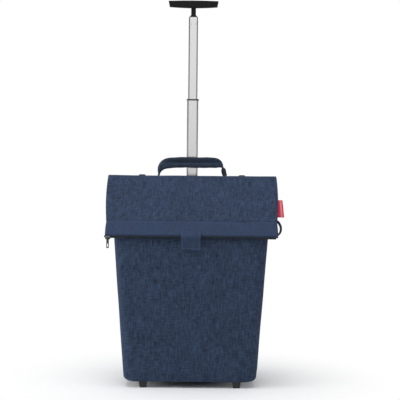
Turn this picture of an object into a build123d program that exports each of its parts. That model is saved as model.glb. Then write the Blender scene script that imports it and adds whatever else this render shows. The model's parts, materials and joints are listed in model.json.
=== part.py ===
from build123d import *
import math
import os

# A shopping trolley with a folded-over top. Millimetres, +Z up, the front faces -Y and
# +X is the viewer's right. It stands on the floor at z = 0, with x = 0 in its middle plane.

# ------------------------------------------------------------------ driving dimensions
# bag
base_width = 334.0  # outside, at the bottom
shoulder_width = 386.0  # outside, at shoulder_height
shoulder_height = 376.0  # also the height of the flap's lower edge
bag_front = -102.0  # the front panel's outer face
bag_depth = 157.0
bag_floor = 16.0  # the bottom panel's underside
bag_top = 530.0  # the top of the fold
fabric = 2.4  # coated fabric with its lining
board = 2.0  # stiffeners in the walls
base_board_thickness = 2.5
board_margin = 12.0  # the boards stop this far below the front's knee
board_edge = 24.0  # the wall boards stop this far from the bag's soft upright corners
board_rise = 8.0  # and start this far above its floor
base_board_inset = 8.0
base_board_corner = 18.0
back_lean_rise = 19.0  # the back leans in this far above the shoulder

# fold and flap
fold_inset = 31.0  # the line that the top is folded about, in front of the back
flap_width = 430.0
flap_thickness = 10.0
flap_inner_gap = 3.0  # from the fold line to the flap's inner face
flap_clearance = 1.0  # between the flap and the leaning front
flap_stand_off = 5.0  # the flap's lower edge, in front of the front panel
flap_root = 6.0  # where the flap starts, measured from the fold line
front_end = 12.0  # where the leaning front stops short of the fold line
band_length = 54.0
zip_tape_depth = 3.0
zip_teeth_size = 3.2
zip_teeth_height = 2.3
zip_margin = 3.0  # the zip's tape stops this far in from each end of the flap
zip_end_size = (11.0, 9.0, 4.0)  # the fabric tab on the zip's end: out, along and thick
label_size = (15.0, 58.0, 1.2)
label_start = 62.0  # from the fold line, down the flap
loop_ribbon = (8.0, 1.5)  # the side loop's width and thickness
loop_reach = 12.0  # how far the loop stands out from the flap's edge
slider_length = 12.0
slider_wall = 2.2
slider_gap = 0.3
pull_size = (6.4, 23.0, 1.6)
pull_slot = (2.4, 8.0)
pull_drop = 5.0  # from the slider's lug down to the pin that the pull hangs on
pull_pin_radius = 1.0

# closing tab
tab_width = 50.0
tab_thickness = 1.6
tab_rise = 12.0  # the tab bends this far above the flap's lower edge
tab_drop = 28.0  # and ends this far below it
patch_thickness = 1.0
hook_inset = 3.0  # the hook and loop patches, in from the tab's edges
hook_thickness = 1.2
hook_gap = 0.2

# telescopic post
post_gap = 25.0  # from the bag's back to the post's middle
tube_wall = 1.2
upper_tube_size = (24.5, 15.5)
tube_step = 5.0  # each stage is this much larger than the one inside it
tube_corner = 5.0
running_gap = 0.1
outer_tube_bottom = 30.0
outer_tube_below_top = 10.0  # the outer tube ends this far below the bag's top
middle_tube_length = 385.0
upper_tube_length = 307.0
middle_overlap = 180.0  # how much of the middle tube stays in the outer one
upper_overlap = 90.0
collar_height = 4.0
collar_rim = 1.3
bush_depth = 15.0
guide_base = 4.0
stud_radius = 3.0
stud_hole_radius = 3.2
stud_rise = 25.0  # each stage's studs sit this far above its lower end
clip_strip = (7.0, 0.8)  # the lock clip's width and thickness
clip_leg = 8.0  # each leg goes on this far below its stud
clip_rise = 26.0  # the clip's bend is this far above the studs

# T-handle
bar_length = 130.0
bar_depth = 24.0
bar_rise = 43.0  # from the upper tube's end to the top of the bar
bar_height = 18.8
bar_crown = 1.3  # the top is this much lower at the ends
bar_arch = 2.6  # the underside is this much higher at the ends
bar_end_slant = 2.6
bar_fillet = 3.5
cap_height = 8.0  # the bar's upper shell
stem_size = (12.4, 11.0)
flare_height = 6.0
flare_inset = 1.0
spigot_length = 36.0
stem_pin_x = 5.5
stem_pin_radius = 1.45
handle_screw_x = 45.0
button_size = (27.6, 10.6)
button_travel = 4.0
button_flange = (1.5, 2.0)  # how far it stands out all round, and its height
push_rod_radius = 2.0
spring_radius = 3.4
spring_wire = 0.45
spring_turns = 5
slide_gap = 0.3  # round the push rod and the button's flange

# wheels, chassis and feet
wheel_radius = 28.5
wheel_width = 20.0
wheel_x = 123.0
tyre_thickness = 6.0
axle_radius = 4.0
axle_clearance = 0.05
axle_head = 3.0  # the axle's head stands out this far all round, and is this high
hub_rim = 3.0
hub_web = 4.0
hub_hole_radius = 3.4
hub_hole_circle = 13.5
housing_gap = 1.0  # between the wheel and each cheek
housing_flange = 8.0  # the housing's plate stands out this far either side
arch_gap = 2.5  # between the tyre and the mudguard over it
arch_wall = 2.5
boss_radius = 14.0
chassis_plate = 2.5
chassis_height = 74.0
wheel_gap = 1.5
cheek = 3.0
foot_x = 117.5
foot_setback = 18.0  # the feet's middle, behind the bag's front
foot_screw_pitch = 12.0
foot_top = (21.0, 24.0)
foot_bottom = (17.0, 20.0)
socket_wall = 3.5  # round the post's lower end
screw_radius = 2.0
screw_head_radius = 4.0
screw_head_height = 2.2
screw_hole_gap = 0.25

# carry handle
handle_half_width = 88.0
handle_before_post = 26.0  # the handle stands this far in front of the post's middle
handle_above_top = 47.5  # the grip's top, above the bag's top
grip_size = (134.0, 24.0, 26.5)
webbing_width = 20.0
webbing = 2.6
handle_corner = 27.0
handle_flex = 12.4  # the free webbing that bends when the handle is tipped
bracket_half_width = 145.0
bracket_wall = 3.0
bracket_below_top = 8.0  # the bracket's ledge is this far below the bag's top
bracket_leg = 24.0
clamp_size = (18.0, 22.0, 13.0)
clamp_x = 130.0
rivet_x = (-120.0, -60.0, 60.0, 120.0)
sleeve_flange = 30.0  # the sleeve is stitched down this far out from the tube

# ------------------------------------------------------------------ derived places
bag_back = bag_front + bag_depth
back_lean_start = shoulder_height + back_lean_rise
fold_y = bag_back - fold_inset
fold_outer = flap_inner_gap + flap_thickness
fold_z = bag_top - fold_outer
edge_y = bag_front - flap_stand_off
edge_distance = math.hypot(fold_y - edge_y, fold_z - shoulder_height)
flap_length = math.sqrt(edge_distance**2 - flap_inner_gap**2)
lean = math.atan2(fold_y - edge_y, fold_z - shoulder_height) - math.atan2(flap_inner_gap, flap_length)
lean_degrees = math.degrees(lean)
flap_half = flap_width / 2
band_start = flap_length - band_length
band_end = flap_length - zip_tape_depth
tape_end = flap_length - zip_tape_depth / 2
zip_middle = flap_inner_gap + flap_thickness / 2
far = 2 * max(flap_width, base_width, shoulder_width)  # past everything, for cutting prisms

middle_tube_size = tuple(side + tube_step for side in upper_tube_size)
outer_tube_size = tuple(side + tube_step for side in middle_tube_size)
post_y = bag_back + post_gap
outer_tube_ends = (outer_tube_bottom, bag_top - outer_tube_below_top)
middle_bottom = outer_tube_ends[1] - middle_overlap
middle_tube_ends = (middle_bottom, middle_bottom + middle_tube_length)
upper_bottom = middle_tube_ends[1] - upper_overlap
upper_tube_ends = (upper_bottom, upper_bottom + upper_tube_length)
upper_stud_z = upper_tube_ends[0] + stud_rise
middle_stud_z = middle_tube_ends[0] + stud_rise
bar_top = upper_tube_ends[1] + bar_rise
parting_z = bar_top - cap_height
tab_hinge_z = shoulder_height + tab_rise
tab_bottom = shoulder_height - tab_drop
foot_y = bag_front + foot_setback
bracket_top = bag_top - bracket_below_top
handle_y = post_y - handle_before_post
handle_top = bag_top + handle_above_top
wheel_y = bag_back + chassis_plate + wheel_gap + wheel_radius
wheel_z = wheel_radius
housing_in = wheel_x - wheel_width / 2 - housing_gap - cheek
housing_out = wheel_x + wheel_width / 2 + housing_gap + cheek
plate_low = bag_floor + 1
plate_high = plate_low + chassis_height
plate_back = bag_back + chassis_plate
made = {}


def keep(name, shape):
    """Keep a finished sub-part under its node name."""
    made[name] = shape


def flap_point(along, out):
    """A point (y, z) beside the leaning flap: along it from the fold line, and out from that line."""
    y = fold_y - along * math.sin(lean) - out * math.cos(lean)
    z = fold_z - along * math.cos(lean) + out * math.sin(lean)
    return (y, z)


def yz_prism(points, x_low, x_high):
    """A prism with a section drawn in Y and Z, from one x to another."""
    section = Pos(x_low, 0, 0) * (Plane.YZ * Polygon(*points, align=None))
    return extrude(section, x_high - x_low, dir=(1, 0, 0))


def xz_prism(points, y_low, y_high):
    """A prism with a section drawn in X and Z, from one y to another."""
    section = Pos(0, y_low, 0) * (Plane.XZ * Polygon(*points, align=None))
    return extrude(section, y_high - y_low, dir=(0, 1, 0))


def block(x_span, y_span, z_span):
    """A box between two x, two y and two z values."""
    spans = (x_span, y_span, z_span)
    middle = [(low + high) / 2 for low, high in spans]
    return Pos(*middle) * Box(*[high - low for low, high in spans])


def bar_x(radius, x_low, x_high, y, z):
    """A round bar along X."""
    return extrude(Plane(origin=(x_low, y, z), z_dir=(1, 0, 0)) * Circle(radius), x_high - x_low)


def bar_y(radius, y_low, y_high, x, z):
    """A round bar along Y."""
    return extrude(Plane(origin=(x, y_low, z), z_dir=(0, 1, 0)) * Circle(radius), y_high - y_low)


def bar_z(radius, z_low, z_high, x, y):
    """A round bar along Z."""
    return extrude(Pos(x, y, z_low) * Circle(radius), z_high - z_low)


# ------------------------------------------------------------------ bag
def half_width(z):
    """The bag's half-width at a height: it widens evenly from the bottom to the shoulder."""
    slope = (shoulder_width - base_width) / 2 / (shoulder_height - bag_floor)
    return base_width / 2 + slope * (z - bag_floor)


def outline(inset, z_low, z_high):
    """The bag's outline seen from the front, moved in by an inset, through the whole depth."""
    low, high = half_width(z_low) - inset, half_width(z_high) - inset
    return xz_prism([(-low, z_low), (low, z_low), (high, z_high), (-high, z_high)], -far, far)


def front_line(inset, end):
    """The front's line from the floor up to the fold: upright, then leaning back to the fold."""
    out = flap_inner_gap - flap_clearance - inset
    y = bag_front + inset
    knee = (fold_y - y - out * math.cos(lean)) / math.sin(lean)
    return [(y, bag_floor), (y, flap_point(knee, out)[1]), flap_point(end, out)]


def back_line(inset):
    """The back's line from the floor up to the fold: upright, then leaning in."""
    top = (fold_y + fold_outer - inset, fold_z - 1)
    return [(bag_back - inset, bag_floor), (bag_back - inset, back_lean_start), top]


def bag_panels():
    """The sewn bag: five panels that meet at their edges and leave the mouth open."""
    top = fold_z + 1
    front = front_line(0, front_end) + front_line(fabric, front_end)[::-1]
    keep("bag_front_panel", yz_prism(front, -far, far) & outline(0, bag_floor, top))
    back = back_line(0) + back_line(fabric)[::-1]
    keep("bag_back_panel", yz_prism(back, -far, far) & outline(0, bag_floor, top))
    inside = yz_prism(front_line(fabric, front_end) + back_line(fabric)[::-1], -far, far)
    wall = outline(0, bag_floor, top) - outline(fabric, bag_floor, top)
    right = (wall & inside) & block((0, far), (-far, far), (0, bag_top))
    keep("bag_side_right", right)
    keep("bag_side_left", mirror(right, Plane.YZ))
    floor = block((-far, far), (-far, far), (bag_floor, bag_floor + fabric))
    keep("bag_bottom_panel", inside & outline(fabric, bag_floor, top) & floor)


def stiffeners():
    """Boards inside the walls, clear of the bag's soft corners, and the base board on its floor."""
    floor, low = bag_floor + fabric, bag_floor + board_rise
    top = min(front_line(0, front_end)[1][1], back_lean_start) - board_margin
    front, back = bag_front + fabric, bag_back - fabric
    facing = outline(board_edge, low, top)
    keep("front_board", facing & block((-far, far), (front, front + board), (low, top)))
    keep("back_board", facing & block((-far, far), (back - board, back), (low, top)))
    wall = outline(fabric, low, top) - outline(fabric + board, low, top)
    right = wall & block((0, far), (bag_front + board_edge, bag_back - board_edge), (low, top))
    keep("side_board_right", right)
    keep("side_board_left", mirror(right, Plane.YZ))
    middle_y, half = (bag_front + bag_back) / 2, half_width(floor) - base_board_inset
    base = RectangleRounded(2 * half, bag_depth - 2 * base_board_inset, base_board_corner)
    keep("base_board", extrude(Pos(0, middle_y, floor) * base, base_board_thickness))


def top_fold():
    """The fabric that turns over the fold line, from the back panel's top to the flap's root."""
    roll = bar_x(fold_outer, -flap_half, flap_half, fold_y, fold_z)
    roll -= bar_x(flap_inner_gap, -flap_half, flap_half, fold_y, fold_z)
    reach = 2 * fold_outer
    turn = math.pi - lean
    far_corner = (fold_y + reach * math.cos(turn), fold_z + reach * math.sin(turn))
    wedge = [(fold_y, fold_z), (fold_y + reach, fold_z), (fold_y + reach, fold_z + reach)]
    wedge += [(fold_y, fold_z + reach), (fold_y - reach, fold_z + reach), far_corner]
    root = [flap_point(0, flap_inner_gap), flap_point(0, fold_outer)]
    root += [flap_point(flap_root, fold_outer), flap_point(flap_root, flap_inner_gap)]
    keep("top_fold", (roll & yz_prism(wedge, -far, far)) + yz_prism(root, -flap_half, flap_half))


# ------------------------------------------------------------------ flap, zip and tab
def flap_slab(start, end, inner, outer, x_low, x_high):
    """A slab of the leaning flap, between two distances along it and two out from it."""
    corners = [(start, inner), (end, inner), (end, outer), (start, outer)]
    return yz_prism([flap_point(along, out) for along, out in corners], x_low, x_high)


def flap_parts():
    """The folded-over top, its plain band, the zip along its edge, its end tabs and its side label."""
    inner, outer = flap_inner_gap, fold_outer
    keep("flap_panel", flap_slab(flap_root, band_start, inner, outer, -flap_half, flap_half))
    keep("flap_band", flap_slab(band_start, band_end, inner, outer, -flap_half, flap_half))
    tape_half = flap_half - zip_margin
    keep("zip_tape", flap_slab(band_end, tape_end, inner + 0.5, outer - 0.5, -tape_half, tape_half))
    low, high = zip_middle - zip_teeth_size / 2, zip_middle + zip_teeth_size / 2
    teeth_half = tape_half - zip_margin
    keep("zip_teeth", flap_slab(tape_end, tape_end + zip_teeth_height, low, high, -teeth_half, teeth_half))
    out, length, thickness = zip_end_size
    low, high = zip_middle - thickness / 2, zip_middle + thickness / 2
    keep("zip_end_tab", flap_slab(band_end - length, band_end, low, high, -flap_half - out, -flap_half))
    out, length, thickness = label_size
    low, high = zip_middle - thickness / 2, zip_middle + thickness / 2
    label_end = label_start + length
    keep("side_label", flap_slab(label_start, label_end, low, high, flap_half, flap_half + out))


def zip_tail_loop():
    """A ribbon loop sewn to the flap's right edge: out, round and back to the zip's end."""
    ribbon_width, ribbon = loop_ribbon
    start, end = band_start + 1, band_end - 5
    middle = (start + end) / 2
    reach = flap_half + loop_reach
    corners = [(flap_half, start), (reach, start + 12), (reach + 1, middle + 6), (flap_half, end)]
    path = Spline(*[(x, -along) for x, along in corners])
    flat = trace(path, line_width=ribbon)
    loop = extrude(Plane.XZ * flat, ribbon_width / 2, both=True)
    placed = Pos(0, fold_y, fold_z) * Rot(-lean_degrees, 0, 0) * Pos(0, -zip_middle, 0) * loop
    keep("zip_tail_loop", placed - block((-far, flap_half), (-far, far), (0, bag_top)))


def slider_and_pull():
    """The zip's slider straddles the teeth at the left end, and its pull hangs from a pin along Y."""
    start_x = 2.0 - flap_half
    span = (start_x, start_x + slider_length)
    crown = tape_end + zip_teeth_height + slider_gap
    half_inner = zip_teeth_size / 2 + slider_gap
    half_outer = half_inner + slider_wall
    low, high = zip_middle - half_outer, zip_middle + half_outer
    body = flap_slab(tape_end + slider_gap, crown + 2, low, high, *span)
    body -= flap_slab(0, crown, zip_middle - half_inner, zip_middle + half_inner, *span)
    lug_y, lug_z = flap_point(crown + 1.5, zip_middle)
    pin_x, pin_z = start_x + slider_length / 2, lug_z - pull_drop
    lug_half = 0.8
    lug = block((pin_x - 2, pin_x + 2), (lug_y - lug_half, lug_y + lug_half), (pin_z - 2, lug_z + 0.5))
    pin = bar_y(pull_pin_radius, lug_y - 3.2, lug_y, pin_x, pin_z)
    pin += bar_y(pull_pin_radius + 0.7, lug_y - 4.0, lug_y - 3.0, pin_x, pin_z)
    keep("zip_slider", body + lug + pin)
    width, length, thickness = pull_size
    eye = width / 2  # the pull's eye is this far below its upper end
    back = lug_y - lug_half - slider_gap
    blade = Pos(pin_x, pin_z + eye - length / 2) * RectangleRounded(width, length, 2.2)
    blade -= Pos(pin_x, pin_z - length / 2 - 1) * RectangleRounded(*pull_slot, 1.1)
    pull = extrude(Pos(0, back, 0) * (Plane.XZ * blade), thickness, dir=(0, -1, 0))
    keep("zip_pull", pull - bar_y(pull_pin_radius + 0.2, back - 5, back + 5, pin_x, pin_z))


def tab_line(offset):
    """The tab's line: down in front of the flap's edge, in towards the bag, and down its front."""
    rest = bag_front - patch_thickness - hook_gap - hook_thickness
    front_of_edge = min(flap_point(band_end, fold_outer)[0], flap_point(flap_length, fold_outer)[0]) - 0.8
    edge_low = flap_point(flap_length, flap_inner_gap)[1]
    points = [(front_of_edge, tab_hinge_z), (front_of_edge, edge_low + 4.5), (rest, edge_low - 13)]
    points += [(rest, tab_bottom)]
    return [(y - offset, z) for y, z in points]


def closing_tab():
    """The tab that hangs from the band and closes on the patch on the bag's front."""
    half = tab_width / 2
    line = tab_line(0) + tab_line(tab_thickness)[::-1]
    keep("closure_tab", yz_prism(line, -half, half))
    rest = bag_front - patch_thickness - hook_gap
    span = (hook_inset - half, half - hook_inset)
    height = (tab_bottom + 2, flap_point(flap_length, flap_inner_gap)[1] - 15)
    keep("tab_hook_patch", block(span, (rest - hook_thickness, rest), height))
    keep("closure_patch", block(span, (bag_front - patch_thickness, bag_front), height))


# ------------------------------------------------------------------ telescopic post
def ring(size, wall, corner, z_low, z_high):
    """A length of rounded rectangular tube round the post's line."""
    width, depth = size
    outside = RectangleRounded(width, depth, corner)
    inside = RectangleRounded(width - 2 * wall, depth - 2 * wall, corner - wall)
    return extrude(Pos(0, post_y, z_low) * (outside - inside), z_high - z_low)


def plug(size, corner, z_low, z_high):
    """A solid rounded rectangle on the post's line."""
    return extrude(Pos(0, post_y, z_low) * RectangleRounded(*size, corner), z_high - z_low)


def grown(size, by):
    """A width and depth, both made larger."""
    return tuple(side + by for side in size)


def collar(tube_size, corner, inner_size, inner_corner, tube_top):
    """A collar: a cap on a tube's end with a bush inside it that guides the next stage."""
    cap_size = grown(tube_size, 2 * collar_rim)
    cap = plug(cap_size, corner + collar_rim, tube_top, tube_top + collar_height)
    bush_size = grown(tube_size, -2 * tube_wall - running_gap)
    bush = plug(bush_size, corner - tube_wall, tube_top - bush_depth, tube_top)
    hole_size = grown(inner_size, 2 * running_gap)
    hole = plug(hole_size, inner_corner + running_gap, tube_top - bush_depth, tube_top + collar_height)
    return cap + bush - hole


def guide(tube_size, corner, outer_size, tube_bottom, hole_radius):
    """A guide on a stage's lower end: a base under the tube and a sleeve that fills the gap round it."""
    slide_size = grown(outer_size, -2 * tube_wall - 2 * running_gap)
    whole = plug(slide_size, corner + 1, tube_bottom - guide_base, tube_bottom + bush_depth)
    whole -= plug(grown(tube_size, running_gap / 2), corner, tube_bottom, tube_bottom + bush_depth)
    return whole - bar_z(hole_radius, tube_bottom - guide_base, tube_bottom, 0, post_y)


def lock_clip(tube_size, outer_size, stud_z):
    """A sprung steel V inside a stage, with a stud on each leg through that stage and the next."""
    strip, thickness = clip_strip
    reach = tube_size[0] / 2 - tube_wall - 0.4
    apex_z, foot_z = stud_z + clip_rise, stud_z - clip_leg
    outer = [(0, apex_z), (reach, stud_z + 6), (reach, foot_z)]
    inner = [(reach - thickness, foot_z), (reach - thickness, stud_z + 6), (0, apex_z - 1.6)]
    leg = xz_prism(outer + inner, post_y - strip / 2, post_y + strip / 2)
    stud_end = outer_size[0] / 2 - 0.3
    leg += bar_x(stud_radius, reach - thickness, stud_end, post_y, stud_z)
    return leg + mirror(leg, Plane.YZ)


def stud_holes(stud_z):
    """The cut for a clip's two studs."""
    return bar_x(stud_hole_radius, -far, far, post_y, stud_z)


def telescopic_post():
    """Three tubes that slide in each other, their collars, guides and lock clips."""
    sizes = (upper_tube_size, middle_tube_size, outer_tube_size)
    corners = (tube_corner, tube_corner + tube_step / 4, tube_corner + tube_step / 2)
    upper = ring(sizes[0], tube_wall, corners[0], *upper_tube_ends) - stud_holes(upper_stud_z)
    upper -= stem_pins(0.05, far)
    middle = ring(sizes[1], tube_wall, corners[1], *middle_tube_ends)
    middle -= stud_holes(upper_stud_z) + stud_holes(middle_stud_z)
    outer = ring(sizes[2], tube_wall, corners[2], *outer_tube_ends) - stud_holes(middle_stud_z)
    keep("upper_tube", upper)
    keep("middle_tube", middle)
    keep("outer_tube", outer)
    keep("middle_tube_collar", collar(sizes[1], corners[1], sizes[0], corners[0], middle_tube_ends[1]))
    keep("outer_tube_collar", collar(sizes[2], corners[2], sizes[1], corners[1], outer_tube_ends[1]))
    keep("upper_guide", guide(sizes[0], corners[0], sizes[1], upper_tube_ends[0], 4.0))
    keep("middle_guide", guide(sizes[1], corners[1], sizes[2], middle_tube_ends[0], 6.0))
    keep("upper_lock_clip", lock_clip(sizes[0], sizes[1], upper_stud_z))
    keep("middle_lock_clip", lock_clip(sizes[1], sizes[2], middle_stud_z))


# ------------------------------------------------------------------ T-handle
def stem_pins(gap, reach):
    """The two pins along Y through the upper tube and the handle's spigot, or with a gap their holes."""
    z = upper_tube_ends[1] - spigot_length / 2
    pin = bar_y(stem_pin_radius + gap, post_y - reach, post_y + reach, stem_pin_x, z)
    return pin + mirror(pin, Plane.YZ)


def arched(half_low, half_high, z_ends_low, z_mid_low, z_ends_high, z_mid_high):
    """The bar's outline seen from the front, with an arched underside and a crowned top."""
    low = ThreePointArc((-half_low, z_ends_low), (0, z_mid_low), (half_low, z_ends_low))
    high = ThreePointArc((half_high, z_ends_high), (0, z_mid_high), (-half_high, z_ends_high))
    right = Line((half_low, z_ends_low), (half_high, z_ends_high))
    left = Line((-half_high, z_ends_high), (-half_low, z_ends_low))
    face = make_face([low, right, high, left])
    return extrude(Pos(0, post_y - bar_depth / 2, 0) * (Plane.XZ * face), bar_depth, dir=(0, 1, 0))


def t_handle():
    """The T-handle: a lower shell with its stem, a cap, the release button, its spring and the push rod."""
    half_top, bottom = bar_length / 2, bar_top - bar_height
    half_bottom = half_top - bar_end_slant
    whole = arched(half_bottom, half_top, bottom + bar_arch, bottom, bar_top - bar_crown, bar_top)
    whole = fillet(whole.edges().filter_by(Axis.Y, reverse=True), bar_fillet)
    lower = whole & block((-far, far), (-far, far), (0, parting_z))
    cap = whole & block((-far, far), (-far, far), (parting_z, bar_top + 1))
    # stem, flare and the spigot that sits in the upper tube
    tube_top = upper_tube_ends[1]
    flare_size = grown(upper_tube_size, -2 * flare_inset)
    foot = Pos(0, post_y, tube_top) * RectangleRounded(*flare_size, tube_corner - 1)
    neck = Pos(0, post_y, tube_top + flare_height) * RectangleRounded(*stem_size, 3.5)
    lower += loft([foot, neck])
    lower += extrude(neck, bottom + 2 - tube_top - flare_height)
    spigot_size = grown(upper_tube_size, -2 * tube_wall - running_gap)
    lower += plug(spigot_size, tube_corner - tube_wall, tube_top - spigot_length, tube_top)
    lower -= bar_z(push_rod_radius + slide_gap, tube_top - spigot_length, bar_top, 0, post_y)
    lower -= stem_pins(0.05, far)
    # the button's flange slides in a pocket that both shells share
    flange_reach, flange_height = button_flange
    flange = grown(button_size, 2 * flange_reach)
    flange_low = parting_z + 0.2
    pocket = RectangleRounded(*grown(flange, 2 * slide_gap), 5.0)
    pocket_depth = button_travel + 0.4
    lower -= extrude(Pos(0, post_y, parting_z - pocket_depth) * pocket, pocket_depth)
    spring_seat = bottom + 2.4
    lower -= bar_z(spring_radius + spring_wire + 0.4, spring_seat, parting_z, 0, post_y)
    cap -= extrude(Pos(0, post_y, parting_z) * pocket, flange_height + 0.4)
    cap -= extrude(Pos(0, post_y, parting_z) * RectangleRounded(*grown(button_size, 0.4), 5.2), far)
    screws = Part()
    for x in (-handle_screw_x, handle_screw_x):
        lower -= bar_z(1.6, 0, parting_z, x, post_y) + bar_z(3.0, 0, bottom + 4.5, x, post_y)
        cap -= bar_z(1.4, parting_z, parting_z + 4, x, post_y)
        screws += bar_z(1.35, bottom + 3, parting_z + 3.8, x, post_y)
        screws += bar_z(2.8, bottom + 2.6, bottom + 4.4, x, post_y)
    keep("handle_body", lower)
    keep("handle_cap", cap)
    keep("handle_screws", screws)
    keep("stem_pins", stem_pins(0, upper_tube_size[1] / 2))
    # button, push rod and spring
    button = extrude(Pos(0, post_y, flange_low) * RectangleRounded(*flange, 4.7), flange_height)
    button += extrude(Pos(0, post_y, flange_low) * RectangleRounded(*button_size, 5.0), bar_top - flange_low)
    rod_bottom = upper_stud_z + clip_rise + 1
    button -= bar_z(push_rod_radius, flange_low, flange_low + 1.5, 0, post_y)
    keep("release_button", button)
    keep("push_rod", bar_z(push_rod_radius, rod_bottom, flange_low + 1.5, 0, post_y))
    coil_low, coil_high = spring_seat + spring_wire + 0.05, flange_low - spring_wire - 0.05
    pitch = (coil_high - coil_low) / spring_turns
    path = Helix(pitch, coil_high - coil_low, spring_radius)
    section = Plane(origin=path @ 0, z_dir=path % 0) * Circle(spring_wire)
    keep("button_spring", Pos(0, post_y, coil_low) * sweep(section, path=path, is_frenet=True))


# ------------------------------------------------------------------ chassis, wheels and feet
def wheel():
    """The right wheel's tyre and its hub with six holes, centred on the axle."""
    half, tyre_inner = wheel_width / 2, wheel_radius - tyre_thickness
    low, high = wheel_x - half, wheel_x + half
    tyre = bar_x(wheel_radius, low, high, wheel_y, wheel_z)
    rounded = [edge for edge in tyre.edges() if edge.geom_type == GeomType.CIRCLE]
    tyre = fillet(rounded, 3.5) - bar_x(tyre_inner, low, high, wheel_y, wheel_z)
    hub = bar_x(tyre_inner, low + 1, high - 1, wheel_y, wheel_z)
    hub -= bar_x(tyre_inner - hub_rim, low, high, wheel_y, wheel_z)
    hub += bar_x(tyre_inner - hub_rim, wheel_x - hub_web / 2, wheel_x + hub_web / 2, wheel_y, wheel_z)
    hub += bar_x(axle_radius + 4, low, high, wheel_y, wheel_z)
    for turn in range(0, 360, 60):
        angle = math.radians(turn)
        y = wheel_y + hub_hole_circle * math.cos(angle)
        z = wheel_z + hub_hole_circle * math.sin(angle)
        hub -= bar_x(hub_hole_radius, low, high, y, z)
    return tyre, hub - bar_x(axle_radius + axle_clearance, low, high, wheel_y, wheel_z)


def housing():
    """The right wheel's housing: a plate on the bag's back, two cheeks and a mudguard over the wheel."""
    span = (housing_in - housing_flange, housing_out + housing_flange)
    body = block(span, (bag_back, plate_back), (plate_low, plate_high))
    arch_inner = wheel_radius + arch_gap
    arch_outer = arch_inner + arch_wall
    arch_end = wheel_y + 8
    arch = bar_x(arch_outer, housing_in, housing_out, wheel_y, wheel_z)
    arch -= bar_x(arch_inner, housing_in, housing_out, wheel_y, wheel_z)
    body += arch & block((0, far), (plate_back, arch_end), (wheel_z + 10, plate_high))
    side = [(plate_back, plate_low + 6), (wheel_y, wheel_z - boss_radius)]
    side += [(arch_end, wheel_z + arch_inner - 2), (arch_end, wheel_z + arch_inner)]
    side += [(wheel_y, wheel_z + arch_outer - 0.5), (plate_back, plate_high - 12)]
    for x_low in (housing_in, housing_out - cheek):
        x_high = x_low + cheek
        body += bar_x(boss_radius, x_low, x_high, wheel_y, wheel_z) + yz_prism(side, x_low, x_high)
    body -= bar_x(axle_radius + 0.01, housing_in, housing_out, wheel_y, wheel_z)
    return body - screw_clearance(screw_places())


def wheel_parts():
    """Two wheels on stub axles, in housings either side of the chassis bar."""
    tyre, hub = wheel()
    right_parts = {"wheel_housing": housing(), "wheel_tyre": tyre, "wheel_hub": hub}
    for name, right in right_parts.items():
        keep(name + "_right", right)
        keep(name + "_left", mirror(right, Plane.YZ))
    axle = bar_x(axle_radius, housing_in - 1, housing_out + 3, wheel_y, wheel_z)
    axle += bar_x(axle_radius + axle_head, housing_in - axle_head, housing_in, wheel_y, wheel_z)
    cap = bar_x(axle_radius + 2.6, housing_out + 0.1, housing_out + 2.4, wheel_y, wheel_z)
    cap -= bar_x(axle_radius, housing_out, housing_out + 3, wheel_y, wheel_z)
    keep("wheel_axles", axle + mirror(axle, Plane.YZ))
    keep("axle_caps", cap + mirror(cap, Plane.YZ))


def screw_places():
    """Where the chassis screws go, as (x, z): beside each wheel housing and along the bar."""
    low, high = plate_low + 9, plate_high - 7
    inner, outer, bar = housing_in - housing_flange / 2, housing_out + housing_flange / 2, 40.0
    right = [(inner, low), (inner, high), (outer, high), (bar, low), (bar, high)]
    return right + [(-x, z) for x, z in right]


def screw_clearance(places):
    """Clearance holes along Y for the chassis screws, through the plates, the back panel and the board."""
    holes = Part()
    for x, z in places:
        holes += bar_y(screw_radius + screw_hole_gap, bag_back - 20, bag_back + 20, x, z)
    return holes


def chassis():
    """The chassis bar with the post's socket, the screws that hold it to the back board, and their nuts."""
    half_bar = housing_in - housing_flange - 0.2
    bar = block((-half_bar, half_bar), (bag_back, plate_back), (plate_low, plate_high))
    rib_depth, rib_height = 11.0, 3.0
    for z in (plate_low + 22, plate_low + 46):
        bar += block((-half_bar, half_bar), (plate_back, plate_back + rib_depth), (z, z + rib_height))
    socket_size = grown(outer_tube_size, 2 * socket_wall)
    socket_back = post_y + socket_size[1] / 2
    socket_low = outer_tube_ends[0] - 6
    socket_span = (-socket_size[0] / 2, socket_size[0] / 2)
    socket = block(socket_span, (bag_back, socket_back), (socket_low, plate_high))
    hole = plug(grown(outer_tube_size, 2 * running_gap), tube_corner + tube_step / 2, outer_tube_ends[0], far)
    keep("chassis_bar", bar + socket - hole - screw_clearance(screw_places()))
    board_face = bag_back - fabric - board
    screws = Part()
    for x, z in screw_places():
        screws += bar_y(screw_radius, board_face - 4, plate_back, x, z)
        screws += bar_y(screw_head_radius, plate_back, plate_back + screw_head_height, x, z)
        screws += bar_y(screw_head_radius + 0.5, board_face - 3, board_face, x, z)
    keep("chassis_screws", screws)
    for name in ("bag_back_panel", "back_board"):
        keep(name, made[name] - screw_clearance(screw_places()))


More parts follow.
